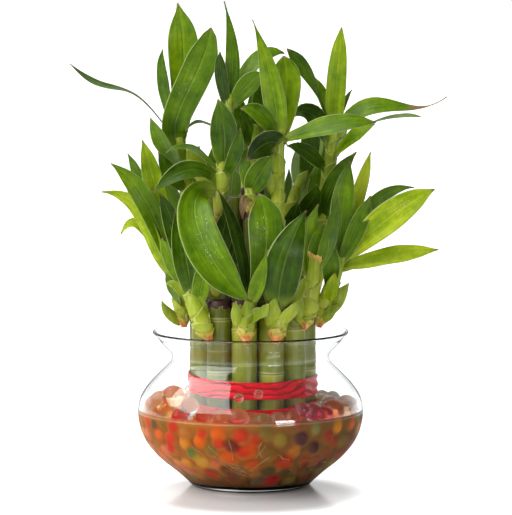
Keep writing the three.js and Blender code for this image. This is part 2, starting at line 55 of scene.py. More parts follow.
# How a blade's width runs: the share of its length where it is widest, its root's share of the full
# width, how slowly it widens, how slowly it narrows, the share of its length from which it is dry, and
# how it folds: below 0 its midrib stands out.
PLAIN = (0.48, 0.42, 1.3, 0.8, 0.94, 1.0)
HANGING = (0.62, 0.38, 1.5, 0.6, 0.97, 1.0)
SPOON = (0.68, 0.24, 1.4, 0.68, 0.96, 1.0)
BROAD_ROOT = (0.38, 0.62, 1.0, 0.9, 0.95, -1.2)
BLUNT = (0.6, 0.42, 1.2, 0.5, 0.96, 1.0)
TAPERED = (0.34, 0.55, 1.2, 1.3, 0.95, 1.0)
STRAP = (0.45, 0.72, 1.0, 0.6, 0.96, 1.0)
TAILED = (0.3, 0.5, 1.1, 2.2, 0.66, 1.0)
POINTED = (0.62, 0.4, 1.3, 1.0, 0.95, 1.0)
PADDLE = (0.74, 0.7, 1.3, 0.4, 0.97, 1.0)
WHIP = (0.78, 0.16, 2.2, 0.7, 0.97, 1.0)
CLUB = (0.78, 0.12, 5.0, 0.6, 0.97, 1.0)
WITHERED = (0.4, 0.6, 1.0, 0.6, -0.5, 1.0)

# Each plant, as in the part: its cane's top, its stem's thickest radius, the line of its stem, and its
# leaves. A leaf is its midrib's points from root to tip, its width, where its upper face looks, its tone
# from 0, dark green, to 1, lime, and its shape where that isn't the plain one. The tone is partly the
# leaf's own green and partly painted light and shade: leaves that stand in shadow get darker tones, and a
# few shaded ones get lighter tones.
PLANTS = {
    "outer_01": (98, 4.6, [(-2, -36.4, 76.5), (-2, -35.9, 86), (0, -38, 97)], [
        ([(0, -38, 92), (7.5, -40.5, 124), (4, -37.5, 149.5)], 17.5, FRONT, 0.44, SPOON),
        ([(-1, -38, 92), (-5.5, -38, 124), (-16, -33, 151)], 8, RIGHT_FRONT, 0.12),
        ([(-4, -38, 84), (-6.5, -41.5, 90), (-7, -42, 97)], 6, FRONT, 0.6),
        ([(1, -39, 86), (5, -43, 91), (8.5, -44.5, 96)], 7, FRONT_UP, 0.85),
        ([(2, -41, 95), (4.5, -46.5, 109), (8.5, -49.5, 123)], 7.5, FRONT, 0.58, TAPERED),
    ]),
    "outer_02": (92, 4.8, [(12.5, -35.2, 76.5), (13.6, -34.2, 86), (15, -36, 98)], [
        # Painted shade in part: this leaf stands largely in shadow, so its tone is set dark.
        ([(11, -40.5, 91), (17, -49.5, 118), (27.5, -39, 141.5)], 19, FRONT, 0.24, BROAD_ROOT),
        ([(16, -37, 82), (20, -39.5, 90), (23.5, -38, 97)], 8, RIGHT_FRONT, 0.5),
        ([(12, -38, 84), (11, -41.5, 91), (12.5, -41, 99)], 8, FRONT, 0.62),
        ([(17, -33, 92), (23, -31, 100), (27, -29, 108)], 7, FRONT, 0.75),
    ]),
    "outer_03": (90, 4.6, [(27, -22, 82), (29.5, -23, 96), (32, -23, 118)], [
        ([(32, -21, 108), (33.5, -20.5, 121), (36.5, -23, 134)], 10, FRONT, 0.45),
        ([(33, -23, 108), (39, -21.5, 127), (43, -20, 146)], 9, RIGHT_FRONT, 0.45),
        ([(31, -22, 106), (29, -19, 124), (33.5, -18, 143)], 8, FRONT, 0.5),
        ([(27, -25, 84), (24, -28.5, 92), (25, -28, 101)], 6, FRONT, 0.7),
    ]),
    "outer_04": (94, 4.6, [(34.5, -5.5, 81), (39, -8, 97), (46, -10, 117)], [
        ([(45, -10.5, 111), (70, -14, 116.5), (93.5, -15, 120)], 11, FRONT_UP, 0.86),
        ([(45, -11, 114), (69, -20, 137), (91, -22, 150.5)], 15, FRONT, 0.85),
        ([(46, -8, 115), (62, -2, 142), (82, -1, 150)], 8, FRONT_UP, 0.42),
        ([(45, -12, 111), (53, -17, 131), (59.5, -17, 147)], 9, FRONT, 0.42),
        ([(46, -7, 114), (53.5, -3, 145), (60, -2, 168)], 9.5, RIGHT_FRONT, 1.0),
        ([(45, -10, 112), (45.5, -13, 140), (49.5, -12, 164)], 12, FRONT, 0.44),
        ([(37, -8, 88), (43, -12, 95), (49, -12, 103)], 8, FRONT, 0.72),
        ([(38, -9, 92), (40, -16, 100), (42, -17, 109)], 7, FRONT, 0.8),
        ([(40, -10, 99), (40, -17, 113), (38, -19, 125)], 9, FRONT, 0.4),
        ([(35, -9, 83), (39, -14, 88), (45, -14, 93)], 5.5, FRONT, 0.82),
    ]),
    "outer_05": (104, 4.4, [(33.2, 12, 90), (36.6, 11, 135), (43, 6, 182)], [
        ([(42.5, 6, 174), (43, 1, 204), (45.5, 0, 230)], 10, FRONT, 0.72, STRAP),
        ([(43, 6, 174), (60, 1, 190.5), (78, -1, 190), (98, -3, 195.5)], 10, FRONT_UP, 0.5, TAILED),
        ([(43, 8, 172), (65, 9, 183.5), (86, 8, 185)], 8, UP, 0.5, CLUB),
        ([(42, 5, 165), (53, -3, 177), (62, -7, 182)], 8, FRONT_UP, 0.6),
        ([(41, 5, 174), (32, -1, 200), (18, -5, 219.5)], 8.5, (0.45, -0.85, 0.3), 0.34, CLUB),
        ([(41, 7, 168), (31, 4, 186), (21, 3, 185)], 11, FRONT_UP, 0.2),
        ([(43, 9, 178), (37, 9, 194), (32, 8, 205)], 6, FRONT, 0.75),
        ([(44, 9, 177), (47, 11, 191), (51, 10, 198.5)], 2.6, FRONT, 0.3),
        ([(39, 7, 157), (29, 1, 167), (18, -3, 171)], 9, FRONT_UP, 0.2),
        ([(37, 8, 128), (41, 1, 150), (53, -3, 168)], 10, FRONT, 0.35),
        ([(40, 9, 158), (45, 23, 172), (48, 33, 182)], 12, BACK_RIGHT, 0.35),
    ]),
    "outer_06": (96, 4.4, [(23, 27.6, 80), (24.4, 30, 101), (28, 36, 120)], [
        ([(28, 36, 112), (40, 48, 138), (50, 54, 158)], 15, BACK_RIGHT, 0.4),
        ([(27, 37, 114), (31, 50, 148), (27, 54, 178)], 15, BACK, 0.3),
        ([(26, 36, 108), (22, 51, 134), (20, 61, 156)], 14, BACK_LEFT, 0.35),
        ([(28, 34, 116), (35, 36, 146), (38, 33, 172)], 12, FRONT, 0.45),
        ([(28, 34, 106), (46, 36, 124), (62, 32, 128)], 11, BACK_RIGHT, 0.5),
    ]),
    "outer_07": (93, 4.4, [(6.4, 35, 80), (6.8, 37, 99), (8, 43, 116)], [
        ([(8, 43, 110), (8, 58, 142), (5, 63, 172)], 16, BACK, 0.35),
        ([(7, 43, 108), (-4, 60, 128), (-10, 68, 146)], 13, BACK_LEFT, 0.45),
        ([(9, 44, 108), (21, 62, 124), (28, 71, 136)], 13, BACK_RIGHT, 0.4),
        ([(8, 41, 112), (8, 45, 150), (13, 43, 184)], 14, BACK, 0.3),
        ([(8, 45, 102), (8, 64, 112), (6, 78, 105)], 11, (0, 0.3, 1), 0.5),
    ]),
    "outer_08": (97, 4.4, [(-11.8, 33.2, 80), (-12.8, 35, 99), (-16, 41, 118)], [
        ([(-16, 41, 112), (-21, 55, 140), (-19, 62, 166)], 15, BACK, 0.4),
        ([(-16, 40, 112), (-34, 51, 134), (-46, 56, 148)], 14, BACK_LEFT, 0.45),
        ([(-15, 40, 114), (-10, 50, 148), (-8, 49, 177)], 14, BACK, 0.3),
        ([(-16, 38, 110), (-27, 41, 140), (-30, 38, 164)], 12, BACK_LEFT, 0.4),
        ([(-16, 41, 104), (-34, 51, 113), (-47.5, 56, 109)], 11, BACK_LEFT, 0.5),
    ]),
    "outer_09": (105, 4.4, [(-25.9, 21.6, 92), (-30.4, 16.6, 136), (-36, 8, 175)], [
        ([(-36, 8, 168), (-37, 4, 185), (-28, -1, 205), (-19.5, -6, 230)], 16, FRONT, 0.45, PADDLE),
        ([(-36.5, 9, 170), (-33.5, 11, 212), (-36.5, 8, 242)], 15.5, FRONT, 0.58, POINTED),
        ([(-37, 9, 170), (-43.5, 10, 200), (-44, 8, 219)], 7.5, LEFT_FRONT, 0.35),
        ([(-37, 7, 168), (-57, 1, 196), (-71, -2, 200.5), (-90, -4, 212)],
         8, (-0.1, -0.35, 0.95), 0.3, WHIP),
        ([(-34, 8, 155), (-43, 2, 171), (-50, -1, 185)], 11, LEFT_FRONT, 0.5),
        ([(-33, 10, 145), (-40, 2, 157), (-46, -2, 168)], 8, FRONT, 0.45),
        ([(-30, 19, 125), (-42, 26, 148), (-52, 28, 160)], 11, BACK_LEFT, 0.45),
        ([(-33, 14, 150), (-41, 27, 166), (-44, 35, 177)], 12, BACK_LEFT, 0.35),
    ]),
    "outer_10": (94, 4.6, [(-33.6, 3, 80), (-35.6, 1.5, 95), (-41, -2, 112)], [
        ([(-40, -3, 101), (-48, -7, 123), (-57, -9, 141), (-74, -11, 148.5)], 10, LEFT_FRONT, 0.78),
        ([(-41, 0, 104), (-54, 2, 130), (-65, 0, 126.5)], 7, FRONT_UP, 0.92),
        ([(-40, -4, 106), (-51, -14, 142), (-69, -18, 163)], 11, FRONT, 0.54),
        ([(-41, 1, 106), (-55, 5, 140), (-63, 4, 154)], 8, LEFT_FRONT, 0.3),
        ([(-41, 0, 108), (-47.5, -3, 148), (-54, -4, 174)], 11, FRONT, 0.75),
        ([(-41, 2, 108), (-53, 10, 146), (-62, 12, 166.5)], 8, LEFT_FRONT, 0.45),
        ([(-36, -1, 82), (-41, -3, 87), (-44.5, -4, 93.5)], 5, FRONT, 0.6),
        ([(-38, -2, 88), (-38.5, -7, 99), (-42.5, -8, 108)], 7, LEFT_FRONT, 0.5),
    ]),
    "outer_11": (92, 5, [(-20.2, -26.1, 77), (-25.6, -26, 88), (-32, -19, 104)], [
        ([(-30, -20, 96), (-32, -26, 117), (-37, -24, 141)], 13, FRONT, 0.35),
        ([(-32, -18, 99), (-39, -19, 114), (-44, -17, 126)], 8, LEFT_FRONT, 0.5),
        ([(-31, -18, 100), (-37, -19, 128), (-45, -21, 149)], 10, FRONT, 0.25),
        ([(-28, -21, 91), (-24, -27, 105), (-20, -28, 121)], 9, FRONT, 0.55),
        ([(-27, -22, 84), (-24.5, -26.5, 91), (-24, -26, 99)], 8, FRONT, 0.7),
        ([(-31, -20, 93), (-36, -20, 102), (-42, -19, 103)], 6, FRONT_UP, 0.72),
    ]),
    "outer_12": (95.5, 3.6, [(-16.5, -17.5, 94), (-17.5, -19.5, 108), (-19, -20.5, 120)], [
        ([(-18, -20, 111), (-14, -25.5, 127), (-11.5, -25, 142)], 10, FRONT, 0.15),
        ([(-19, -19, 113), (-26, -19, 134), (-28, -18, 152)], 10, FRONT, 0.68),
        ([(-17, -20, 105), (-10, -23, 115), (-7, -24, 128)], 8, FRONT, 0.2),
    ]),
    "inner_1": (138, 3.2, [(1, -16, 136), (0, -16.5, 145), (-1, -17, 153)], [
        ([(-1, -18, 147), (4, -21, 157), (11.5, -21, 168)], 12, FRONT, 0.4),
        ([(-1, -17, 148), (-2.5, -19.5, 160), (-1.5, -19.5, 172)], 6, FRONT, 0.5),
        ([(0, -18, 145), (-3, -25, 145), (-4, -28, 136)], 4.5, FRONT_UP, 0.25, WITHERED),
    ]),
    "inner_2": (122, 3.8, [(12.9, -14.1, 108), (13.4, -13.4, 142), (15, -11, 180)], [
        ([(14, -12, 173), (10, -16, 204), (1, -18, 234)], 11.5, FRONT, 0.6, TAPERED),
        ([(15.5, -10, 174), (17.5, -7, 198), (16.5, -5, 216)], 15, FRONT, 0.64, BLUNT),
        ([(13.5, -13, 174), (5, -18, 187), (-5, -19, 190)], 10, FRONT_UP, 0.48),
        # Painted shade: this leaf hangs in shadow, so its tone is set very dark.
        ([(15, -13, 172), (8, -21, 173), (-2, -26, 165)], 13, (0, -1, -0.1), 0.08, STRAP),
        ([(16, -13, 174), (40, -21, 182), (62, -23, 183.5)], 11, FRONT_UP, 0.5),
        ([(12.5, -15.5, 148), (9.5, -18.5, 155), (7.5, -19, 163)], 5, FRONT, 0.85),
    ]),
    "inner_3": (128, 3.6, [(17, 12.6, 116), (20, 14, 137), (29, 14, 160)], [
        ([(28.5, 13, 152), (30, 9, 170), (31, 8, 186)], 10, FRONT, 0.3),
        ([(28, 15, 150), (33, 22, 164), (36, 28, 176)], 9, BACK_RIGHT, 0.4),
        ([(27, 16, 146), (26, 28, 160), (24, 37, 171)], 11, BACK, 0.3),
        ([(25, 13, 134), (30, 3, 142), (33, -2, 152)], 9, FRONT, 0.25),
        ([(22.5, 13, 122), (21, 4, 132), (23.5, 0, 143)], 9, FRONT, 0.3),
    ]),
    "inner_4": (132, 3.6, [(-1.4, 20.6, 120), (-2, 22.8, 145), (0, 25, 168)], [
        ([(-0.5, 24, 160), (-10, 24, 174), (-16, 22, 184)], 11, FRONT, 0.4),
        ([(0, 25, 160), (9, 28, 178), (14, 30, 190)], 11, BACK_RIGHT, 0.3),
        ([(0, 26, 158), (1, 40, 176), (0, 50, 184)], 13, BACK, 0.35),
        ([(-1, 26, 150), (-10, 36, 162), (-16, 44, 170)], 11, BACK_LEFT, 0.35),
        ([(0, 24, 162), (2, 21, 182), (1, 18, 200)], 10, FRONT, 0.45),
    ]),
    "inner_5": (126, 3.6, [(-18.4, 8.8, 114), (-19.8, 8.4, 138), (-22, 8, 158)], [
        ([(-22, 7.5, 150), (-27, 4, 162), (-32, 2, 169)], 9, FRONT, 0.35),
        ([(-22, 9, 150), (-25, 14, 162), (-26, 18, 170)], 10, BACK_LEFT, 0.4),
        ([(-21.5, 7, 150), (-17, 2, 164), (-14, 0, 177)], 9, FRONT, 0.4),
        ([(-21, 7, 134), (-27, -2, 140), (-33, -8, 150)], 9, LEFT_FRONT, 0.3),
    ]),
    "inner_6": (146, 3.6, [(-17, -13.4, 132), (-13.5, -11.5, 162), (-10, -9, 197)], [
        ([(-10.5, -9, 190), (-9, -9.5, 217), (-13, -9, 243)], 7.5, FRONT, 0.36, TAPERED),
        ([(-11.5, -9.5, 188), (-14.5, -12.5, 206), (-15, -13, 218)], 6.5, FRONT, 0.2),
        ([(-10, -8.5, 192), (3, -5, 213.5), (17, -1, 217)], 10, (-0.3, -0.8, 0.5), 0.5),
        ([(-10, -10, 190), (-1, -13, 202), (6.5, -14, 207)], 10, FRONT, 0.42),
        ([(-12, -11, 178), (-24, -14, 183.5), (-32, -15, 179)], 5.5, UP, 0.2),
        ([(-13, -13, 160), (-13, -19.5, 178), (-16, -22, 195)], 14, FRONT, 0.36),
        ([(-12.5, -14, 156), (-7.5, -22, 168), (-5, -24, 181)], 7, FRONT, 0.35),
        ([(-15, -14, 154), (-30, -22, 160), (-48, -27, 149)], 11, FRONT_UP, 0.3),
        ([(-15, -12.5, 158), (-29, -13, 170), (-42, -14, 168)], 9, UP, 0.42),
        ([(-15, -15, 150), (-27.5, -33, 144), (-20.5, -46, 121), (-1, -50, 98.5)],
         19.5, FRONT, 0.48, HANGING),
    ]),
    "centre": (150, 3.2, [(1, 1, 148), (2, 0, 165), (3, -1, 182)], [
        ([(3, -1.5, 174), (5.5, -2, 192), (6, -1, 208)], 10, FRONT, 0.45),
        ([(2, -1, 170), (-4, -3, 183), (-5, -2, 197)], 9, FRONT, 0.4),
        ([(3, 1, 172), (11, 7, 186), (17, 10, 194)], 9, BACK_RIGHT, 0.4),
        ([(1.5, 2, 164), (-7, 9, 176), (-14, 12, 182)], 9, BACK_LEFT, 0.35),
    ]),
}

# Bowl: its outside as radius and height, its glass, and the heights where its look changes
BOWL_OUTSIDE = [
    (27.5, 0), (30, 0.7), (32.5, 3.2), (38, 8), (46.5, 15), (53.2, 23.5), (56.5, 33.5), (56.2, 42),
    (54.2, 47), (50.7, 51.8), (46.3, 56.4), (42.2, 60.4), (40.1, 62.9), (39.5, 65), (40.3, 67),
    (42.2, 69.2), (45.2, 72.4), (48.5, 77),
]
BOWL_SEGMENTS = 176
UNDERSIDE = [(0, 0.9), (10, 0.765), (18, 0.45), (23.5, 0.15), (25.5, 0)]
GLASS_FLOOR = 2.9
FLOOR_LINE = [(29, 3.15), (26, 2.9), (14, 3.0), (0, 3.2)]
WALL = 1.9
RIM_WALL = 1.1
THINS_FROM = 42
THIN_AT = 60
RIM_RADIUS = 0.7
RIM_CENTRE = (48.6, 77.4)
RIM_ARC = (-0.25 * math.pi, 0.85 * math.pi)
RIM_POINTS = 11
GLASS_IOR = 1.47
DULL_BELOW = 36.4
# Below this height the outside of the foot is tinted dark brown: painted shade of the dark line under the
# foot.
FOOT_DARK_BELOW = 1.0

# Painted highlight at the foot: a bright band that stands in for the glint of light in the thick glass
# foot. Its height, its half width, how that varies round the bowl, and its section as depth into the wall
# and side
FOOT_RING_HEIGHT = 1.45
FOOT_RING_REACH = 0.5
FOOT_RING_LEAST = 0.04
FOOT_RING_EVEN = 0.45
FOOT_GLINT_AT = 0.42
FOOT_GLINT_SPREAD = 0.22
FOOT_RING_SECTION = ((0.2, -1), (0.2, 1), (0.6, 1), (0.6, -1), (0.2, -1))

# Water
WATER_IOR = 1.33
WATER_LEVEL = 38
WATER_OVERLAP = 0.3
MENISCUS_RISE = 0.6
MENISCUS_REACH = 1.6

# Bed of beads: how deep it lies behind the glass, how softly the beads bulge from it, the rings and
# lumps of its top, and the beads packed round the ones that are placed one by one
BED_DEPTH = 3.4
EDGE_DEPTH = 1.3
EDGE_HEIGHTS = (31, 36)
BED_SOFTNESS = 0.55
BED_BOTTOM = 5.4
BED_TOP = 37.2
BED_WELL = 32.7
BED_GAP = 0.5
BED_COLUMNS = 420
BED_ROWS = 64
TOP_SHARES = (0.35, 0.7, 1.0)
LUMP_HEIGHT = 0.9
LUMP_SCALE = 0.16
BED_TRIES = 12000
BEAD_PACKING = 0.8
BEAD_SIZES = (3.2, 4.8)
BEAD_HEIGHTS = (8.2, 36.5)
BEAD_STRENGTHS = (0.5, 0.9)
NAMED_STRENGTH = 0.92
LOW_BEADS_BELOW = 13
LEFT_BEADS_BEFORE = -4

# Beads' colours, 0 to 255 as shown on a display
ORANGE = (236, 112, 22)
AMBER = (226, 158, 48)
YELLOW = (214, 176, 62)
OCHRE = (190, 128, 52)
RED = (214, 50, 32)
CRIMSON = (178, 22, 40)
MAROON = (112, 34, 34)
PURPLE = (74, 44, 70)
OLIVE = (128, 122, 56)
BROWN = (120, 64, 32)
SLATE = (96, 88, 78)
LEAF_GREEN = (86, 138, 62)
DEEP_GREEN = (74, 78, 48)
PALE_GREEN = (140, 154, 104)
MOSS = (156, 146, 58)
BARK = (132, 104, 40)
EMBER = (212, 88, 26)
RUST = (190, 62, 34)
SALMON = (222, 128, 96)
DUSKY_RED = (172, 66, 58)
DUSKY_PINK = (158, 92, 76)
BED_LEFT = (194, 112, 36)
BED_RIGHT = (142, 94, 44)
BED_LOW = (48, 27, 12)
BED_FADE = (0.88, 0.66, 0.5)
LEFT_BEADS = (ORANGE, AMBER, YELLOW, RED, OCHRE, EMBER, SALMON, OLIVE)
RIGHT_BEADS = (OLIVE, OCHRE, RUST, PURPLE, MOSS, BROWN, AMBER, DUSKY_PINK, DUSKY_RED, RED)
LOW_BEADS = (BROWN, MAROON, OCHRE, SLATE, OLIVE, BARK)

# Beads under water that the eye picks out: turn in degrees from the front towards +X, height, radius
# and colour
WET_BEADS = [
    (-60, 34.5, 3.6, SLATE), (-44, 34.6, 4.2, RED), (-48, 29.0, 4.6, RED), (-58, 29.8, 3.8, ORANGE),
    (-37, 32.6, 4.6, OCHRE), (-35, 22.6, 3.7, LEAF_GREEN), (-31, 18.8, 4.5, YELLOW), (-26, 33.0, 3.4, RED),
    (-17, 33.6, 5.0, ORANGE), (-10, 27.4, 4.8, MAROON), (-5, 32.6, 5.0, RED), (0, 25.8, 4.8, EMBER),
    (1, 18.4, 4.5, EMBER), (-22, 25.2, 4.2, OLIVE), (-29, 12.1, 4.2, RUST), (-16, 14.6, 3.8, BROWN),
    (-13, 9.6, 4.2, BROWN), (-43, 10.9, 4.2, OCHRE), (6, 8.6, 4.3, SLATE), (12, 13.8, 4.2, DEEP_GREEN),
    (17, 8.4, 4.6, CRIMSON), (34, 8.4, 4.3, OLIVE), (21, 18.9, 5.6, RUST), (36, 15.0, 4.2, BROWN),
    (43, 19.0, 4.2, DUSKY_PINK), (28, 30.2, 4.9, PURPLE), (37, 25.2, 4.4, PURPLE),
    (46, 30.2, 4.5, DUSKY_RED), (52, 34.4, 4.5, AMBER), (66, 34.4, 3.8, ORANGE), (60, 27.4, 4.2, OLIVE),
    (50, 22.0, 4.0, DUSKY_PINK), (36, 34.6, 3.8, PALE_GREEN), (8, 33.6, 5.0, OLIVE),
    (16, 30.4, 4.6, MOSS), (11, 24.2, 4.6, BARK),
    (-68, 34.4, 4.4, EMBER), (-72, 29.0, 4.0, SALMON), (-57, 22.8, 4.2, SALMON), (-44, 17.4, 4.0, AMBER),
    (-50, 24.0, 3.8, RED), (-50, 12.8, 4.2, SALMON), (25, 24.4, 4.2, OCHRE), (-14, 22.0, 4.4, ORANGE),
    (-11, 21.2, 4.2, EMBER), (-4, 24.4, 4.0, RED), (-17, 28.4, 3.8, RED), (3, 30.8, 4.0, RUST),
    (-28, 29.0, 4.0, ORANGE), (58, 12.6, 4.0, OLIVE), (-38, 27.6, 3.9, AMBER), (24, 12.8, 4.0, DEEP_GREEN),
]

# Beads out of the water that the eye picks out: turn, height, distance from the glass to the bead's
# centre, radius and tint
DRY_BEADS = [
    (-7, 39.8, 5.7, 5.2, "rose"), (7, 38.2, 5.4, 4.6, "green"), (24, 39.2, 5.3, 4.3, "red"),
    (31, 43.2, 5.2, 3.7, "magenta"), (39, 41.4, 5.4, 4.2, "magenta"), (47, 39.8, 5.3, 4.2, "magenta"),
    (57, 40.8, 6.0, 5.2, "red"), (-57, 47.4, 6.8, 5.4, "orange"), (-38, 44.2, 5.8, 4.6, "water_blue"),
    (-27, 40.6, 5.6, 4.4, "red"), (-44, 39.0, 5.2, 4.0, "magenta"), (-7, 49.6, 3.4, 2.4, "rose"),
    (5, 51.4, 3.3, 2.2, "rose"), (-69, 44.0, 6.0, 5.0, "amber"), (-60, 39.6, 5.4, 4.9, "orange"),
    (-76, 39.6, 5.4, 4.8, "orange"), (-16, 38.4, 5.6, 4.5, "orange"), (66, 39.6, 5.5, 4.8, "amber"),
    (78, 41.0, 5.5, 5.0, "rose"), (15, 38.8, 5.6, 4.2, "rose"), (-34, 38.2, 13.0, 4.6, "amber"),
]
DRY_TINTS = {
    "rose": (0.995, 0.86, 0.83, 1), "red": (0.99, 0.66, 0.58, 1), "magenta": (0.98, 0.62, 0.72, 1),
    "water_blue": (0.94, 0.98, 1, 1), "orange": (0.995, 0.82, 0.63, 1), "green": (0.88, 0.93, 0.78, 1),
    "amber": (0.99, 0.91, 0.74, 1), "clear": (0.985, 0.985, 0.985, 1),
}
GEL_IOR = 1.335
GEL_MILK = 0.1
DRY_TRIES = 4000
DRY_HEIGHTS = (36.5, 39.5)
DRY_DEPTHS = (5.3, 14.2)
DRY_SIZES = (4.3, 4.9)
DRY_SPACING = 9.0
CLEAR_OF_CANES = 34.2
FRONT_TURN = 75
LEFT_OUT_IN_FRONT = 0.75
COLOURED_AT_REAR = 0.35

# Roots: lines of (turn, height) close to the glass that the eye picks out, then where others start and
# how they run
ROOTS = [
    [(-22.7, 26.9), (-18.5, 22.9), (-15.0, 18.6), (-8.7, 14.8), (1.0, 11.9)],
    [(-20.9, 22.2), (-17.0, 18.0), (-11.4, 14.2), (-2.9, 11.3)],
    [(-11.2, 30.0), (-10.0, 25.4), (-10.2, 19.9)], [(5.9, 29.1), (4.4, 26.0), (6.3, 21.7)],
    [(8.0, 27.5), (5.5, 24.4), (3.0, 21.2)], [(-33.0, 25.6), (-27.8, 22.9), (-26.2, 18.0)],
    [(-18.5, 20.7), (-11.6, 18.2), (-4.3, 16.6)], [(11.1, 22.1), (6.5, 18.9), (-0.2, 14.3)],
    [(-6.5, 13.7), (-1.4, 16.7), (1.6, 14.3)],
]
ROOT_STARTS = [(-20, 22), (-14, 18), (-8, 21), (2, 19), (12, 24), (16, 20), (-30, 20), (30, 18)]
REAR_ROOTS = 14
ROOT_DEPTHS = (14, 8, 2.6, 1.5, 1.3, 1.4, 1.8)
ROOT_FALL = 0.9
ROOT_SWING = 3.2
LOWEST_ROOT = 7.5

# Bundle of canes, in rings round its middle, and the nodes of a cane. Turns are in degrees.
BUNDLE_X = 1
OUTER_RING = 25.8
OUTER_RADIUS = 6.3
OUTER_START = -8.9
OUTER_STEP = 30
INNER_RING = 13
INNER_RADIUS = 6.1
INNER_START = 6.1
INNER_STEP = 60
CANE_FOOT = 12
CANE_SIDES = 36
CANE_STATION = 2.2
FIRST_NODE = 27
NODE_SPACING = 27
NODE_STAGGER = 5
NODE_BULGE = 0.25
NODE_WIDTH = 0.8
NODE_WAIST = 0.14
WAIST_WIDTH = 0.9
WAIST_BELOW = 1.7
NODE_STATIONS = (-2.4, -1.6, -1, -0.6, -0.3, 0, 0.3, 0.6, 1, 1.6)
NO_NODE = 60.0
BARE_TOP = 8
CANE_SEED = 7.3

# How far down dark wax coats a cane, and how light its green is, where they aren't the usual ones
WAXED = {"outer_12": 5.0, "outer_01": 5.5, "outer_11": 3, "outer_08": 5, "inner_1": 4, "inner_5": 5,
         "centre": 5}
CANE_TINTS = {"outer_01": 0.75, "outer_02": 0.8, "outer_03": 0.72, "outer_12": 0.25, "outer_11": 0.55,
              "outer_04": 0.6}

# Blades: their section, how they clasp the stem at their roots, how they wave, and their grid of points.
# A short leaf of the plain shape is a bract.
BLADE_THICKNESS = 0.42
BLADE_FOLD = 0.22
NARROW_FOLD = 0.1
FOLDED_WIDTH = 10.5
BLADE_TWIST = 0.352
CREASE_SOFTNESS = 0.012
MIDRIB_HEIGHT = 0.45
TIP_HALF_WIDTH = 0.32
FULL_HALF_WIDTH = 2.5
CLASP_REACH = 0.2
CLASP_TURN = 1.25
BRACT_CLASP_TURN = 1.5
BELLY = 0.2
WAVE_HEIGHT = 0.06
WAVES = 15
DRYING = 0.05
BLADE_SEAT = 0.75
BRACT_LENGTH = 22
BRACT_WIDTH = 1.45
STATION_STEP = 3.0
STATIONS = (12, 34)
COLUMNS = np.array((-1, -0.88, -0.64, -0.38, -0.13, 0, 0.13, 0.38, 0.64, 0.88, 1))

# Stems: radius along them, their sheaths, the dry scales at their feet and one torn collar. A scale is
# its turn, its half width in radians, its height as a share of the tallest and its lift off the stem.
STEM_SWELL = ((0, 0.16, 0.36, 0.68, 1), (0.22, 0.72, 1, 0.82, 0.5))
STEM_SIDES = 24
STEM_STATIONS = 18
SHOOT_SEED = 1.93
LEAF_SEED = 2.1
CORE = 0.94
SHEATH_SPACING = 8.5
SHEATHED = (0.1, 0.82)
SHEATH_WRAP = 2.85
SHEATH_WALL = 0.28
SHEATH_FLARE = 0.55
SHEATH_LAP = 0.28
SHEATH_GRID = (9, 21)
SCALES = ((0, 1.25, 1.0, 0.0), (2.1, 1.15, 0.85, 0.12), (4.2, 1.2, 0.92, 0.24),
          (1.0, 0.7, 1.15, 0.06), (5.3, 0.6, 1.05, 0.18), (3.1, 0.7, 0.75, 0.0))
SCALE_GRID = (8, 15)
SCALE_SPAN = 7.5
SCALE_DROP = 0.7
SCALE_WALL = 0.3
LEAST_SCALE_RADIUS = 0.7
COLLAR_AT = 0.93
COLLAR_SLANT = 0.04
COLLAR_HEIGHT = 0.055
COLLAR_WRAP = 2.9
COLLAR_FLARE = 1.1
COLLAR_GRID = (12, 33)
BARE_ROOTS = ("outer_12",)
COLLARED = ("outer_03",)

# Drops of water: which leaf of a plant has them, how many, and where they gather along it
WET_BLADES = {"inner_6": 9, "outer_09": 0, "outer_01": 0, "outer_04": 1}
DROPS = 40
DROPS_AT = 0.6
DROPS_SPREAD = 0.07
DROP_SIZES = (0.35, 0.95)

# Ribbons: (lower edge, upper edge), how much higher the two edges lie at the left and at the right of
# the bundle, and how many folds run along it. Then what both share.
UPPER_RIBBON = ((46.3, 55.2), (0.4, 1.5), (-1.0, 0.5), 2.6)
LOWER_RIBBON = ((35.4, 41.6), (0.4, 0.8), (0.8, 1.2), 1.7)
RIBBON_COLUMNS = 241
RIBBON_ROWS = 23
RIBBON_STANDS_OFF = 0.85
FOLD_HEIGHT = 0.34
FOLD_DRIFT = 2.2
FOLD_JITTER = 0.8
CRUMPLE = 0.15
EDGE_WAVE = 0.18
RIBBON_THICKNESS = 0.25

# Which material of a shoot a face has
BLADE_SLOT, SHEATH_SLOT, SCALE_SLOT = range(3)

# Studio: how bright the surround, its two dark flags and the floor's own glow are, and over which
# range each one changes. The glow grows from near the bowl to the far floor. A softbox is the lower and
# the upper end of its inner edge, its width and its watts. Lengths are in metres from here on.
FRONT_SURROUND = 0.24
BACK_SURROUND = 1.1
SURROUND_RANGE = (0.1, 0.7)
FLAGS = 0.14
FLAG_RANGE = (0.62, 0.86)
FAR_GLOW = 0.7
GLOW_RANGE = (0.045, 0.068)
GLOW_CENTRE = 0.03
FLOOR_REACH = 60.0
SOFTBOX_LEFT = ((-0.42, -1.24, 0.5), (-0.148, 0.6, 1.488), 2.3, 55)
WINDOW_RIGHT = ((0.44, -0.95, 0.004), (0.44, -0.95, 0.125), 0.5, 2.7)
WHITE = (1, 1, 1, 1)
CAMERA_PLACE = (0.00275, -1.5, 0.246)
CAMERA_TILT = 85
CAMERA_LENS = 209.7

chance = np.random.default_rng(11)


def unit(vectors):
    """The vectors at length one."""
    vectors = np.asarray(vectors, float)
    return vectors / np.linalg.norm(vectors, axis=-1, keepdims=True)


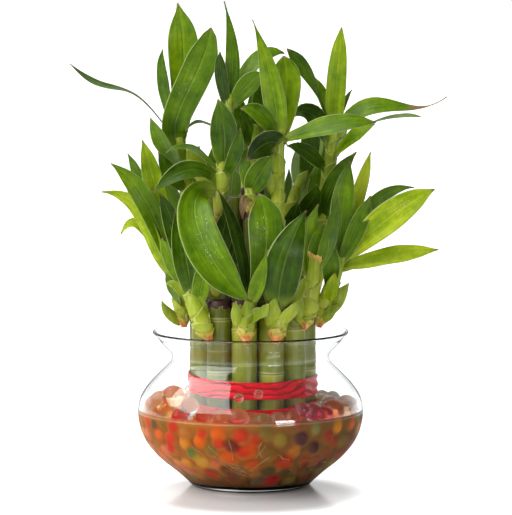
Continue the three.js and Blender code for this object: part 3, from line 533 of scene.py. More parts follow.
def linear(red, green, blue):
    """A display colour, 0 to 255 each, as the linear colour that shaders take."""
    share = np.array([red, green, blue]) / 255
    bright = ((share + 0.055) / 1.055) ** 2.4
    return (*np.where(share <= 0.04045, share / 12.92, bright).tolist(), 1.0)


def smoothstep(low, high, value):
    """0 below low, 1 above high, and a smooth rise between them."""
    share = np.clip((np.asarray(value, float) - low) / (high - low), 0, 1)
    return share * share * (3 - 2 * share)


def full_turn(count):
    """Angles of even steps once round."""
    return np.arange(count) / count * 2 * math.pi


def circle(reach, angles, height, x=0.0):
    """Points at distances, angles and heights round an upright axis."""
    columns = (x + reach * np.cos(angles), reach * np.sin(angles), height)
    return np.stack(np.broadcast_arrays(*columns), axis=1)


def spokes(first, second, angles):
    """Directions that turn from the first one towards the second by these angles."""
    return np.cos(angles)[..., None] * first + np.sin(angles)[..., None] * second


def ring_noise(angles, scale, shift, level):
    """Smooth random numbers around 0 for the angles of a ring."""
    spots = circle(scale, angles, level, shift)
    return np.array([noise.noise(Vector(spot)) for spot in spots])


def smooth_line(points, steps):
    """A line drawn smoothly through points, in the plane or in space."""
    line = np.array(points, float)
    line = np.vstack([2 * line[0] - line[1], line, 2 * line[-1] - line[-2]])
    made = []
    for p0, p1, p2, p3 in zip(line, line[1:], line[2:], line[3:]):
        for t in np.linspace(0, 1, steps, endpoint=False):
            made.append(0.5 * (2 * p1 + (p2 - p0) * t + (2 * p0 - 5 * p1 + 4 * p2 - p3) * t ** 2
                               + (3 * p1 - p0 - 3 * p2 + p3) * t ** 3))
    made.append(line[-2])
    return np.array(made)


class Curve:
    """A smooth curve through three or four points."""

    def __init__(self, points):
        corners = [np.array(point, float) for point in points]
        if len(corners) == 3:
            a, b, c = corners
            self.corners = [a, 2 * b - (a + c) / 2, c]
        else:
            a, b, c, d = corners
            first = (-5 * a + 18 * b - 9 * c + 2 * d) / 6
            second = (2 * a - 9 * b + 18 * c - 5 * d) / 6
            self.corners = [a, first, second, d]

    def at(self, share):
        """The points at these shares, 0 to 1, of the curve."""
        points = self.corners
        share = np.atleast_1d(np.asarray(share, float))[:, None]
        while len(points) > 1:
            points = [a + (b - a) * share for a, b in zip(points, points[1:])]
        return points[0]

    def along(self, share):
        """The directions of the curve at these shares."""
        share = np.atleast_1d(np.asarray(share, float))
        return unit(self.at(share + 1e-3) - self.at(share - 1e-3))

    def length(self):
        """The length of the curve."""
        return np.linalg.norm(np.diff(self.at(np.linspace(0, 1, 25)), axis=0), axis=1).sum()


class Body:
    """Points, faces and values that grow skin by skin into one mesh."""

    def __init__(self):
        self.points = []
        self.faces = []
        self.slots = []
        self.values = {}
        self.count = 0

    def add(self, points, faces, slot=0, **values):
        """Adds one skin; a value is one number for all its points, or a number or vector for each."""
        points = np.asarray(points, float)
        self.points.append(points)
        self.faces.extend([self.count + i for i in face] for face in faces)
        self.slots.extend([slot] * len(faces) if isinstance(slot, int) else slot)
        for key, value in values.items():
            value = np.asarray(value, float)
            self.values.setdefault(key, []).append(value if value.ndim else np.full(len(points), value))
        self.count += len(points)

    def build(self, name, node, slot, *materials):
        """The mesh object. It rides on the only body and stands for a solid. Its slot argument is not used.
        """
        mesh = bpy.data.meshes.new(name)
        mesh.from_pydata((np.concatenate(self.points) * MM).tolist(), [], self.faces)
        for key, parts in self.values.items():
            data = np.concatenate(parts)
            kind, field = ("FLOAT", "value") if data.ndim == 1 else ("FLOAT_VECTOR", "vector")
            mesh.attributes.new(key, kind, "POINT").data.foreach_set(field, data.ravel())
        mesh.polygons.foreach_set("use_smooth", [True] * len(self.faces))
        mesh.polygons.foreach_set("material_index", self.slots)
        for material in materials:
            mesh.materials.append(material)
        mesh.update()
        thing = bpy.data.objects.new(name, mesh)
        bpy.context.scene.collection.objects.link(thing)
        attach(thing, "root")
        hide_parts(node)
        return thing


def tube_faces(rings, sides, closed_ends=True):
    """Quads that join rings of points, and a face over each end."""
    faces = []
    for start in range(0, (rings - 1) * sides, sides):
        for i in range(sides):
            a = start + i
            b = start + (i + 1) % sides
            faces.append((a, b, b + sides, a + sides))
    if closed_ends:
        faces.append(tuple(reversed(range(sides))))
        faces.append(tuple(range((rings - 1) * sides, rings * sides)))
    return faces


def tube(centre, size, side, other, sides):
    """Points and faces of a round tube along a line of centres."""
    way = spokes(side[:, None], other[:, None], full_turn(sides))
    return (centre[:, None] + size[:, None, None] * way).reshape(-1, 3), tube_faces(len(centre), sides)


def shell(outer, inner):
    """Points and faces of a thin plate between two grids of points of the same size."""
    rows, columns = outer.shape[:2]
    half = rows * columns
    faces = []
    for j in range(rows - 1):
        for i in range(columns - 1):
            a = j * columns + i
            faces.append((a, a + 1, a + columns + 1, a + columns))
            faces.append((half + a, half + a + columns, half + a + columns + 1, half + a + 1))
    rim = list(range(columns))
    rim += [j * columns + columns - 1 for j in range(1, rows)]
    rim += [(rows - 1) * columns + i for i in range(columns - 2, -1, -1)]
    rim += [j * columns for j in range(rows - 2, 0, -1)]
    for a, b in zip(rim, rim[1:] + rim[:1]):
        faces.append((b, a, half + a, half + b))
    return np.concatenate([outer.reshape(-1, 3), inner.reshape(-1, 3)]), faces


def ball(radius, cuts):
    """Points and faces of a sphere of even triangles."""
    made = bmesh.new()
    bmesh.ops.create_icosphere(made, subdivisions=cuts, radius=radius)
    points = np.array([v.co[:] for v in made.verts])
    faces = [tuple(v.index for v in f.verts) for f in made.faces]
    made.free()
    return points, faces


def lathe(profile, segments):
    """Points and faces of a profile of (radius, height) turned round the upright axis. A radius of
    zero at either end becomes one point."""
    rings = []
    rows = []
    count = 0
    for radius, height in profile:
        size = segments if radius > 1e-6 else 1
        rings.append(circle(radius, full_turn(size), height))
        rows.append([count + i % size for i in range(segments)])
        count += size
    faces = []
    for low, high in zip(rows, rows[1:]):
        for i in range(segments):
            j = (i + 1) % segments
            corners = [low[i], low[j], high[j], high[i]]
            face = [c for k, c in enumerate(corners) if c != corners[k - 1]]
            if len(face) > 2:
                faces.append(face)
    return np.concatenate(rings), faces


class Value:
    """An output of a shader node. Sums with it make further nodes."""

    def __init__(self, shader, socket):
        self.shader = shader
        self.socket = socket

    def __add__(self, other):
        return self.shader.math("ADD", self, other)

    def __sub__(self, other):
        return self.shader.math("SUBTRACT", self, other)

    def __rsub__(self, other):
        return self.shader.math("SUBTRACT", other, self)

    def __mul__(self, other):
        return self.shader.math("MULTIPLY", self, other)

    def __abs__(self):
        return self.shader.math("ABSOLUTE", self)

    def step(self, low, high, before=0.0, after=1.0):
        """A smooth change from one number to another as this value passes from low to high."""
        if low > high:
            low, high, before, after = high, low, after, before
        made = self.shader.node("MapRange", Value=self, From_Min=low, From_Max=high,
                                To_Min=before, To_Max=after)
        made.interpolation_type = "SMOOTHSTEP"
        return Value(self.shader, made.outputs["Result"])


class Shader:
    """A node material or surround, with short ways to add and link nodes."""

    def __init__(self, name, kind="Material"):
        self.made = (bpy.data.worlds if kind == "World" else bpy.data.materials).new(name)
        self.made.use_nodes = True
        self.tree = self.made.node_tree
        self.tree.nodes.clear()
        self.output = self.node("Output" + kind)

    def put(self, socket, value):
        """Links an output to an input, or sets the input's own value. Three numbers for a colour are
        its display colour, 0 to 255 each."""
        if isinstance(value, Value):
            self.tree.links.new(value.socket, socket)
        elif socket.type == "RGBA" and len(value) == 3:
            socket.default_value = linear(*value)
        else:
            socket.default_value = value

    def node(self, kind, **inputs):
        """A new node. An input is a number, a colour or another node's output."""
        made = self.tree.nodes.new("ShaderNode" + kind)
        for key, value in inputs.items():
            self.put(made.inputs[key.replace("_", " ")], value)
        return made

    def add(self, kind, **inputs):
        """The first output of a new node."""
        return Value(self, self.node(kind, **inputs).outputs[0])

    def outputs(self, kind, *names, **inputs):
        """Some outputs of a new node."""
        made = self.node(kind, **inputs)
        return [Value(self, made.outputs[name]) for name in names]

    def finish(self, surface):
        """Takes a shader as the surface and returns the material."""
        self.put(self.output.inputs["Surface"], surface)
        return self.made

    def math(self, operation, *values):
        """The result of one sum."""
        made = self.node("Math")
        made.operation = operation
        for socket, value in zip(made.inputs, values):
            self.put(socket, value)
        return Value(self, made.outputs[0])

    def mix(self, share, first, second):
        """A colour between two."""
        made = self.node("Mix")
        made.data_type = "RGBA"
        for index, value in ((0, share), (6, first), (7, second)):
            self.put(made.inputs[index], value)
        return Value(self, made.outputs[2])

    def blend(self, share, first, second):
        """A mix of two surfaces."""
        made = self.node("MixShader")
        for socket, value in zip(made.inputs, (share, first, second)):
            self.put(socket, value)
        return Value(self, made.outputs[0])

    def ramp(self, value, *stops):
        """A colour from a scale of (place, display colour) stops."""
        made = self.node("ValToRGB", Fac=value)
        scale = made.color_ramp.elements
        while len(scale) < len(stops):
            scale.new(0.5)
        for element, (place, *colour) in zip(scale, stops):
            element.position = place
            element.color = linear(*colour)
        return Value(self, made.outputs[0])

    def attribute(self, name, output="Fac"):
        """A value stored on the mesh."""
        made = self.node("Attribute")
        made.attribute_name = name
        return Value(self, made.outputs[output])

    def split(self, vector):
        """The three numbers of a vector."""
        return self.outputs("SeparateXYZ", "X", "Y", "Z", Vector=vector)

    def noise(self, scale, detail=3.0, roughness=0.55, stretch=(1, 1, 1), at=None):
        """Soft random variation around one half, over the piece or over other numbers."""
        if at is None:
            place, = self.outputs("TexCoord", "Object")
            at = self.add("Mapping", Vector=place, Scale=stretch)
        return self.add("TexNoise", Vector=at, Scale=scale, Detail=detail, Roughness=roughness)

    def bump(self, height, distance, strength=1.0):
        """A normal roughened by a height, over a distance in metres."""
        return self.add("Bump", Height=height, Distance=distance, Strength=strength)


def lamp_glass(name, colour, ior, wetted=False, matt=0.0, milk=0.0, edge=0.0, edge_range=(0.78, 0.97)):
    """Clear refracting glass that lets lamps through, so that what is inside it is lit. Where water wets it
    there is no mirror between the two, so it only refracts. Matt is the share of its mirror that it lacks,
    milk the share of light that it scatters, and edge how dark it turns where it is seen along its skin:
    painted shade that stands in for the dark lines real glass shows at its edges."""
    s = Shader(name)
    kind = "BsdfRefraction" if wetted else "BsdfGlass"
    clear = s.add(kind, Color=colour, IOR=ior, Roughness=0.0)
    if matt:
        clear = s.blend(matt, clear, s.add("BsdfRefraction", Color=colour, IOR=ior, Roughness=0.0))
    if edge:
        # Painted shade: a nearly black glass is mixed in where the skin is seen edge-on.
        facing, = s.outputs("LayerWeight", "Facing", Blend=0.5)
        dark = s.add(kind, Color=(0.12, 0.14, 0.15, 1), IOR=ior, Roughness=0.0)
        clear = s.blend(facing.step(*edge_range) * edge, clear, dark)
    if milk:
        clear = s.blend(milk, clear, s.add("BsdfTranslucent", Color=colour))
    shadow, diffuse = s.outputs("LightPath", "Is Shadow Ray", "Is Diffuse Ray")
    lamp = s.math("MAXIMUM", shadow, diffuse)
    return s.finish(s.blend(lamp, clear, s.add("BsdfTransparent", Color=colour)))


def leaf_material():
    """Waxy green blades with fine veins, a pale margin and base, and a dry brown tip."""
    s = Shader("leaf_blade")
    across, along, tone = s.split(s.attribute("leaf", "Vector"))
    under = s.attribute("under")
    side = abs(across)
    patches = s.noise(70)
    mottle = s.noise(300, roughness=0.65)
    streaks = s.add("CombineXYZ", X=across * 5.5, Y=along * 1.6, Z=tone)
    fibres = s.noise(2.4, at=streaks)
    bands = s.noise(0.55, detail=1, at=streaks)
    # The tone carries each leaf's own green together with the painted shade and light set for it in PLANTS.
    shade = tone + (patches - 0.5) * 0.6 + (fibres - 0.5) * 0.36
    shade = shade + (bands - 0.5) * 0.4 + (mottle - 0.5) * 0.4
    green = s.ramp(shade, (0, 24, 46, 0), (0.3, 64, 98, 1), (0.55, 104, 142, 2), (0.8, 158, 186, 6),
                   (1, 206, 220, 44))
    rib = side.step(0.08, 0.02)
    green = s.mix(along.step(0.2, 0.02) * 0.7, green, (178, 194, 84))
    green = s.mix(rib * 0.16, green, (170, 196, 90))
    green = s.mix(under * 0.4, green, (146, 176, 78))
    green = s.mix(side.step(0.92, 0.985) * 0.75, green, (216, 232, 146))
    withered = s.mix(fibres.step(0.4, 0.6), (104, 72, 44), (186, 150, 110))
    green = s.mix(s.attribute("dry") * 0.85, green, withered)
    veins = s.math("SINE", across * 62)
    normal = s.bump(veins * 0.1 - rib * 1.6 + fibres * 0.9, 0.00014)
    rough = patches * 0.2 + under * 0.14 + 0.2
    blade = s.add("BsdfPrincipled", Base_Color=green, Roughness=rough, Normal=normal,
                  Specular_IOR_Level=0.24)
    glow = s.add("BsdfTranslucent", Color=s.mix(0.5, green, (190, 220, 40)), Normal=normal)
    return s.finish(s.blend(0.2, blade, glow))


def sheath_material():
    """Pale clasping leaf bases: yellow-green and streaked, with a thin pale edge."""
    s = Shader("leaf_sheath")
    across, along, tone = s.split(s.attribute("leaf", "Vector"))
    streaks = s.noise(620, stretch=(1, 1, 0.12))
    shade = s.noise(90) * 0.5 + along * 0.3 + tone * 0.4 - 0.12
    green = s.ramp(shade, (0, 208, 200, 92), (0.35, 170, 184, 44), (0.7, 122, 148, 14), (1, 78, 108, 6))
    green = s.mix(streaks.step(0.4, 0.75) * 0.3, green, (206, 214, 112))
    edge = s.math("MAXIMUM", along.step(0.93, 0.99), abs(across).step(0.86, 0.97))
    green = s.mix(edge * 0.6, green, (222, 222, 146))
    normal = s.bump(streaks, 0.0002)
    return s.finish(s.add("BsdfPrincipled", Base_Color=green, Roughness=0.42, Normal=normal,
                          Specular_IOR_Level=0.32))


def scale_material():
    """Dry papery scales at the root of a shoot: orange-tan with brown edges."""
    s = Shader("dry_scale")
    across, along, tone = s.split(s.attribute("leaf", "Vector"))
    spots = s.noise(420, detail=4, roughness=0.65)
    streaks = s.noise(900, detail=2, stretch=(1, 1, 0.2))
    shade = spots * 0.9 + tone * 0.5 - 0.15
    tan = s.ramp(shade, (0.2, 104, 46, 18), (0.38, 206, 106, 38), (0.56, 240, 156, 78),
                 (0.85, 250, 220, 160))
    tan = s.mix(abs(across).step(0.75, 1.0) * 0.5, tan, (120, 66, 34))
    tan = s.mix(streaks.step(0.55, 0.7) * 0.3, tan, (160, 92, 48))
    tan = s.mix(along.step(0.45, 0.9) * 0.75, tan, (196, 204, 84))
    normal = s.bump(spots + streaks, 0.0004)
    return s.finish(s.add("BsdfPrincipled", Base_Color=tan, Roughness=0.68, Normal=normal))


def cane_material():
    """Smooth green canes, paler below each node, with a scar at the node and a dark sealed top."""
    s = Shader("cane_skin")
    node, tint, cut = s.split(s.attribute("cane", "Vector"))
    fibres = s.noise(900, stretch=(1, 1, 0.035))
    patches = s.noise(120, detail=4, stretch=(1, 1, 0.5))
    young = node.step(-0.9, -0.05) * (1 - node.step(0.02, 0.03))
    shade = patches * 0.55 + tint * 0.55 - 0.1 + young * 0.22
    green = s.ramp(shade, (0.05, 54, 62, 4), (0.35, 92, 100, 8), (0.6, 122, 130, 12), (0.85, 158, 162, 30),
                   (1, 182, 182, 64))
    green = s.mix(fibres.step(0.42, 0.72) * 0.25, green, (160, 168, 84))
    green = s.mix(s.noise(1500, detail=2).step(0.68, 0.76) * 0.5, green, (104, 84, 44))
    green = s.mix(abs(node).step(0.14, 0.05) * 0.55, green, (196, 198, 128))
    green = s.mix(abs(node).step(0.045, 0.015) * 0.75, green, (92, 76, 40))
    wax = s.mix(patches.step(0.4, 0.6), (44, 22, 26), (70, 36, 32))
    green = s.mix(cut.step(0.45, 0.6), green, wax)
    green = s.mix(cut.step(0.1, 0.25) * cut.step(0.5, 0.4) * 0.8, green, (176, 150, 104))
    normal = s.bump(fibres + patches * 0.6, 0.00025)
    return s.finish(s.add("BsdfPrincipled", Base_Color=green, Roughness=fibres * 0.2 + 0.3, Normal=normal))


def wet_bead_material():
    """Gel beads under water: soft patches of colour, with painted shade in the hollows between them,
    without a gloss of their own.
    """
    s = Shader("gel_bead_wet")
    colour = s.mix(s.noise(260).step(0.35, 0.8) * 0.12, s.attribute("tint", "Vector"), (170, 110, 50))
    return s.finish(s.add("BsdfPrincipled", Base_Color=colour, Roughness=0.6, Specular_IOR_Level=0.05,
                          Subsurface_Weight=0.35, Subsurface_Radius=(0.004, 0.0025, 0.0015),
                          Subsurface_Scale=1.0))


def root_material():
    """Fine roots: pale tan, with browner spots."""
    s = Shader("root")
    tan = s.ramp(s.noise(500), (0.3, 150, 104, 60), (0.7, 206, 166, 112))
    return s.finish(s.add("BsdfPrincipled", Base_Color=tan, Roughness=0.6))


def satin_material():
    """Red satin ribbon: a fine cross weave, with painted shade in the hollows of its folds, and darker
    along its edges.
    """
    s = Shader("red_satin")
    around, across, fold = s.split(s.attribute("satin", "Vector"))
    weave = s.math("SINE", across * 190) * 0.5 + s.math("SINE", around * 2600) * 0.25
    uneven = s.noise(160, stretch=(1, 1, 4))
    red = s.mix(uneven.step(0.3, 0.75), (226, 0, 24), (254, 8, 42))
    # Painted shade: the red darkens where the fold's height is low, in the hollows of the folds.
    red = s.mix(fold.step(0.45, 0.0) * 0.7, red, (120, 0, 16))
    red = s.mix(abs(across).step(0.93, 0.99) * 0.5, red, (150, 4, 22))
    return s.finish(s.add("BsdfPrincipled", Base_Color=red, Roughness=uneven * 0.2 + 0.26,
                          Normal=s.bump(weave, 0.00003, 0.6), Specular_IOR_Level=0.55,
                          Specular_Tint=(255, 100, 110)))


def foot_glint_material():
    """Painted highlight at the foot: bright matt white with fine streaks, standing in for the glint of
    light in the thick glass foot.
    """
    s = Shader("foot_glint_paint")
    glint_streaks = s.noise(2200, detail=2, stretch=(1, 1, 0.1))
    glint_white = s.mix(glint_streaks, (0.86, 0.88, 0.88, 1), (0.98, 0.98, 0.98, 1))
    normal = s.bump(glint_streaks, 0.00005)
    return s.finish(s.add("BsdfPrincipled", Base_Color=glint_white, Roughness=0.55, Normal=normal))


def floor_material():
    """A white studio sweep with a faint gloss, which glows by itself away from the bowl."""
    s = Shader("studio_floor")
    white = s.mix(s.noise(40, detail=2), (0.9, 0.9, 0.9, 1), (0.93, 0.93, 0.93, 1))
    paper = s.add("BsdfPrincipled", Base_Color=white, Roughness=0.14, Specular_IOR_Level=0.4)
    camera, glass = s.outputs("LightPath", "Is Camera Ray", "Is Transmission Ray")
    place, = s.outputs("TexCoord", "Object")
    x, y, _ = s.split(place)
    back = y + GLOW_CENTRE
    away = s.math("SQRT", x * x + back * back)
    glow = s.add("Emission", Strength=s.math("MAXIMUM", camera, glass) * away.step(*GLOW_RANGE) * FAR_GLOW)
    both = s.node("AddShader")
    s.put(both.inputs[0], paper)
    s.put(both.inputs[1], glow)
    return s.finish(Value(s, both.outputs[0]))


def inset(profile, distance):
    """The profile moved inwards along its own normal, by one distance or by one for each point."""
    way = unit(np.gradient(profile, axis=0))
    inwards = np.stack([-way[:, 1], way[:, 0]], axis=1)
    return profile + np.broadcast_to(distance, len(profile))[:, None] * inwards


OUTSIDE = smooth_line(BOWL_OUTSIDE, 5)
INSIDE = inset(OUTSIDE, WALL + (RIM_WALL - WALL) * smoothstep(THINS_FROM, THIN_AT, OUTSIDE[:, 1]))


def inner_radius(height):
    """The radius of the bowl's inside at a height."""
    wall = INSIDE[INSIDE[:, 1] > 3.0]
    return np.interp(height, wall[:, 1], wall[:, 0])


def painted_foot_glint():
    """A painted highlight: a bright band just inside the foot's curve, wider in front and at the back, that
    stands in for the glint of light in the thick glass foot.
    """
    turns = full_turn(BOWL_SEGMENTS)
    across, back = np.cos(turns), np.sin(turns)
    # The band is widest in front and behind, and swells further where the painted glint lies.
    glint = np.exp(-((np.abs(across) - FOOT_GLINT_AT) / FOOT_GLINT_SPREAD) ** 2) * (across * back > 0)
    wide = np.abs(back) ** 5 * (FOOT_RING_EVEN + glint)
    reach = FOOT_RING_REACH * np.clip(wide, FOOT_RING_LEAST, None)
    low = OUTSIDE[OUTSIDE[:, 1] < 12]
    rings = []
    for depth, side in FOOT_RING_SECTION:
        line = inset(low, depth)
        height = FOOT_RING_HEIGHT + side * reach
        rings.append(circle(np.interp(height, line[:, 1], line[:, 0]), turns, height))
    body = Body()
    body.add(np.concatenate(rings), tube_faces(len(rings), BOWL_SEGMENTS, closed_ends=False))
    body.build("foot_glint_band", "glass_bowl", "glass", foot_glint_material())


def glass_bowl():
    """The bowl: a smooth belly and neck, a rolled rim, and a thick base with a slight push-up."""
    turn = np.linspace(*RIM_ARC, RIM_POINTS)
    rim = RIM_CENTRE + RIM_RADIUS * np.stack([np.cos(turn), np.sin(turn)], axis=1)
    outside = OUTSIDE[:-2]
    inside = INSIDE[INSIDE[:, 1] > GLASS_FLOOR + 1.2][:-4][::-1]
    profile = [*UNDERSIDE, *outside.tolist(), *rim.tolist(), *inside.tolist(), *FLOOR_LINE]
    wall_from = len(UNDERSIDE)
    rim_from = wall_from + len(outside)
    dry_rows = rim_from + len(rim)
    clear, wetted, dull, rim_slot, foot = range(5)
    slots = []
    for i, (_, height) in enumerate(profile[:-1]):
        if i > dry_rows and height < WATER_LEVEL:
            slot = wetted
        elif rim_from <= i < dry_rows - 1:
            slot = rim_slot
        elif wall_from <= i < dry_rows and height < FOOT_DARK_BELOW:
            slot = foot
        else:
            slot = dull if height < DULL_BELOW else clear
        slots += [slot] * BOWL_SEGMENTS
    body = Body()
    body.add(*lathe(profile, BOWL_SEGMENTS), slots)
    tint = (0.985, 0.995, 0.99, 1)
    body.build("bowl", "glass_bowl", "glass",
               # The clear glass darkens where seen edge-on: painted shade for the glass's dark outlines.
               lamp_glass("clear_glass", tint, GLASS_IOR, edge=0.8),
               lamp_glass("wetted_glass", tint, GLASS_IOR, wetted=True),
               lamp_glass("lower_glass", tint, GLASS_IOR, matt=0.75),
               # The rim glass is tinted grey and darkens at its edges: painted shade that draws the rim's
               # grey lines.
               lamp_glass("rim_glass", (0.93, 0.95, 0.95, 1), GLASS_IOR, edge=0.3, edge_range=(0.2, 0.6)),
               # The foot glass is tinted dark brown: painted shade of the dark line under the foot.
               lamp_glass("foot_glass", (0.5, 0.44, 0.38, 1), GLASS_IOR, matt=0.6))
    painted_foot_glint()


def water_body():
    """The water: it follows the glass and climbs a little where it meets it."""
    wall = inset(OUTSIDE, WALL - WATER_OVERLAP)
    side = wall[(wall[:, 1] > GLASS_FLOOR + 0.9) & (wall[:, 1] < WATER_LEVEL + MENISCUS_RISE - 0.2)]
    edge = np.interp(WATER_LEVEL + MENISCUS_RISE, wall[20:, 1], wall[20:, 0])
    reach = np.linspace(0, MENISCUS_REACH, 7)
    climb = [(edge - r, WATER_LEVEL + MENISCUS_RISE * (1 - r / MENISCUS_REACH) ** 2) for r in reach]
    rest = [(radius, WATER_LEVEL) for radius in (46, 40, 34, 20, 0)]
    bottom = [(0, GLASS_FLOOR), (14, GLASS_FLOOR - 0.2), (27, GLASS_FLOOR - 0.1)]
    points, faces = lathe([*bottom, *side.tolist(), *climb, *rest], BOWL_SEGMENTS)
    at_glass = (len(bottom) + len(side) - 1) * BOWL_SEGMENTS
    body = Body()
    body.add(points, faces, [int(i < at_glass) for i in range(len(faces))])
    tint = (0.99, 0.995, 0.985, 1)
    body.build("water", "gel_beads_in_water", "gel_beads", lamp_glass("clear_water", tint, WATER_IOR),
               lamp_glass("water_at_glass", tint, WATER_IOR, wetted=True))


def bead_centre(turn, height, depth):
    """Where a bead is whose centre is this deep inside the glass."""
    angle = math.radians(turn)
    reach = float(inner_radius(height)) - depth
    return np.array([reach * math.sin(angle), -reach * math.cos(angle), height])


def bed_beads():
    """All beads that show in the bed, as centres, radii, colours and how strongly each one shows: the
    named ones first, then others packed round them."""
    centres = [bead_centre(turn, height, radius + BED_GAP) for turn, height, radius, _ in WET_BEADS]
    radii = [radius for _, _, radius, _ in WET_BEADS]
    colours = [colour for *_, colour in WET_BEADS]
    strengths = [NAMED_STRENGTH] * len(WET_BEADS)
    for _ in range(BED_TRIES):
        turn = chance.uniform(-180, 180)
        height = chance.uniform(*BEAD_HEIGHTS)
        radius = chance.uniform(*BEAD_SIZES)
        centre = bead_centre(turn, height, radius + BED_GAP + 0.1)
        apart = np.linalg.norm(np.array(centres) - centre, axis=1)
        if (apart < (np.array(radii) + radius) * BEAD_PACKING).any():
            continue
        options = LEFT_BEADS if centre[0] < LEFT_BEADS_BEFORE else RIGHT_BEADS
        options = LOW_BEADS if height < LOW_BEADS_BELOW else options
        centres.append(centre)
        radii.append(radius)
        colours.append(options[chance.integers(len(options))])
        strengths.append(chance.uniform(*BEAD_STRENGTHS))
    shades = np.array([linear(*colour)[:3] for colour in colours]) * BED_FADE
    return np.array(centres), np.array(radii), shades, np.array(strengths)


def bed_tint(points):
    """The colour of the deep bed at points: ochre on the left, olive on the right, brown below."""
    left, right, low = (np.array(linear(*colour)[:3]) for colour in (BED_LEFT, BED_RIGHT, BED_LOW))
    tint = left + smoothstep(-22, 26, points[:, 0])[:, None] * (right - left)
    return tint + 0.62 * smoothstep(17, 6, points[:, 2])[:, None] * (low - tint)


def bed_surface(turns, heights):
    """Points of the bed's outer side and their colours: beads that bulge softly out of the mass, with
    painted shade in the hollows between them.
    """
    centres, radii, shades, strengths = bed_beads()
    angle, level = (grid.ravel() for grid in np.meshgrid(np.radians(turns), heights))
    way = np.stack([np.sin(angle), -np.cos(angle)], axis=1)
    depth = BED_DEPTH + (EDGE_DEPTH - BED_DEPTH) * smoothstep(*EDGE_HEIGHTS, level)
    base = inner_radius(level) - depth
    along = way @ centres[:, :2].T
    aside = (centres ** 2)[:, :2].sum(1)[None] - along ** 2 + (centres[:, 2][None] - level[:, None]) ** 2
    share = np.sqrt(np.clip(aside, 0, None)) / radii[None]
    facing = (share < 1) & (along > 0)
    front = along + radii[None] * np.sqrt(np.clip(1 - share ** 2, 0, 1))
    bulge = np.where(facing, np.exp(np.clip((front - base[:, None]) / BED_SOFTNESS, -20, 20)), 0).sum(1)
    reach = np.minimum(base + BED_SOFTNESS * np.log1p(bulge), inner_radius(level) - BED_GAP)
    points = np.stack([way[:, 0] * reach, way[:, 1] * reach, level], axis=1)
    deep = bed_tint(points)
    weight = np.where(facing, smoothstep(1.0, 0.42, share) * strengths[None], 0)
    total = weight.sum(1, keepdims=True)
    tint = deep + np.clip(total, 0, 1) * ((weight @ shades) / np.maximum(total, 1e-6) - deep)
    # Painted shade: colours are darkened by up to 22 percent where the bed does not bulge, in the hollows
    # between beads.
    return points, tint * (0.78 + 0.22 * smoothstep(0, 1.8, reach - base))[:, None]


def bead_bed():
    """The bed of beads under water: soft bulging patches of colour, with a well for the canes."""
    turns = np.linspace(-180, 180, BED_COLUMNS + 1)[:-1]
    heights = np.linspace(BED_BOTTOM, BED_TOP, BED_ROWS)
    points, tint = bed_surface(turns, heights)
    rows = [points]
    edge = points[-len(turns):, :2]
    well = circle(BED_WELL, np.radians(turns - 90), 0, BUNDLE_X)[:, :2]
    for share in TOP_SHARES:
        inwards = edge + share * (well - edge)
        lumps = [noise.noise(Vector((x * LUMP_SCALE, y * LUMP_SCALE, 2.0))) for x, y in inwards]
        level = BED_TOP - 0.4 + LUMP_HEIGHT * np.array(lumps) * (share < 1)
        rows.append(np.concatenate([inwards, level[:, None]], axis=1))
    foot = rows[-1].copy()
    foot[:, 2] = CANE_FOOT - 0.6
    rows.append(foot)
    faces = [tuple(reversed(face)) for face in tube_faces(BED_ROWS + len(rows) - 1, BED_COLUMNS)]
    body = Body()
    body.add(np.concatenate(rows), faces, tint=np.concatenate([tint, bed_tint(np.concatenate(rows[1:]))]))
    body.build("bead_bed", "gel_beads_in_water", "gel_beads", wet_bead_material())


def dry_beads():
    """Beads that stand out of the water or lie on top, one mesh for each tint."""
    bodies = {name: Body() for name in DRY_TINTS}
    names = list(DRY_TINTS)
    taken = []

    def lay(name, centre, radius):
        points, faces = ball(radius, 4)
        bodies[name].add(points + centre, faces)
        taken.append(centre)

    for turn, height, depth, radius, name in DRY_BEADS:
        lay(name, bead_centre(turn, height, depth), radius)
    for _ in range(DRY_TRIES):
        turn = chance.uniform(-180, 180)
        height = chance.uniform(*DRY_HEIGHTS)
        depth = chance.choice(DRY_DEPTHS)
        radius = chance.uniform(*DRY_SIZES)
        centre = bead_centre(turn, height, depth)
        if np.hypot(centre[0] - BUNDLE_X, centre[1]) < CLEAR_OF_CANES + radius:
            continue
        if abs(turn) < FRONT_TURN and chance.random() < LEFT_OUT_IN_FRONT:
            continue
        if min(np.linalg.norm(centre - other) for other in taken) < DRY_SPACING:
            continue
        coloured = abs(turn) > FRONT_TURN and chance.random() < COLOURED_AT_REAR
        lay(names[chance.integers(len(names))] if coloured else "clear", centre, radius)
    for name, body in bodies.items():
        body.build("beads_" + name, "gel_beads_in_water", "gel_beads",
                   lamp_glass("gel_" + name, DRY_TINTS[name], GEL_IOR, milk=GEL_MILK))


def strand(points, radius, taper):
    """Points and faces of a thin round strand along a line of points. Taper is its end's share."""
    line = smooth_line(points, 6)
    way = unit(np.gradient(line, axis=0))
    side = unit(np.cross(way, (0.3, 0.2, 1.0)))
    return tube(line, radius * np.linspace(1, taper, len(line)), side, np.cross(way, side), 6)


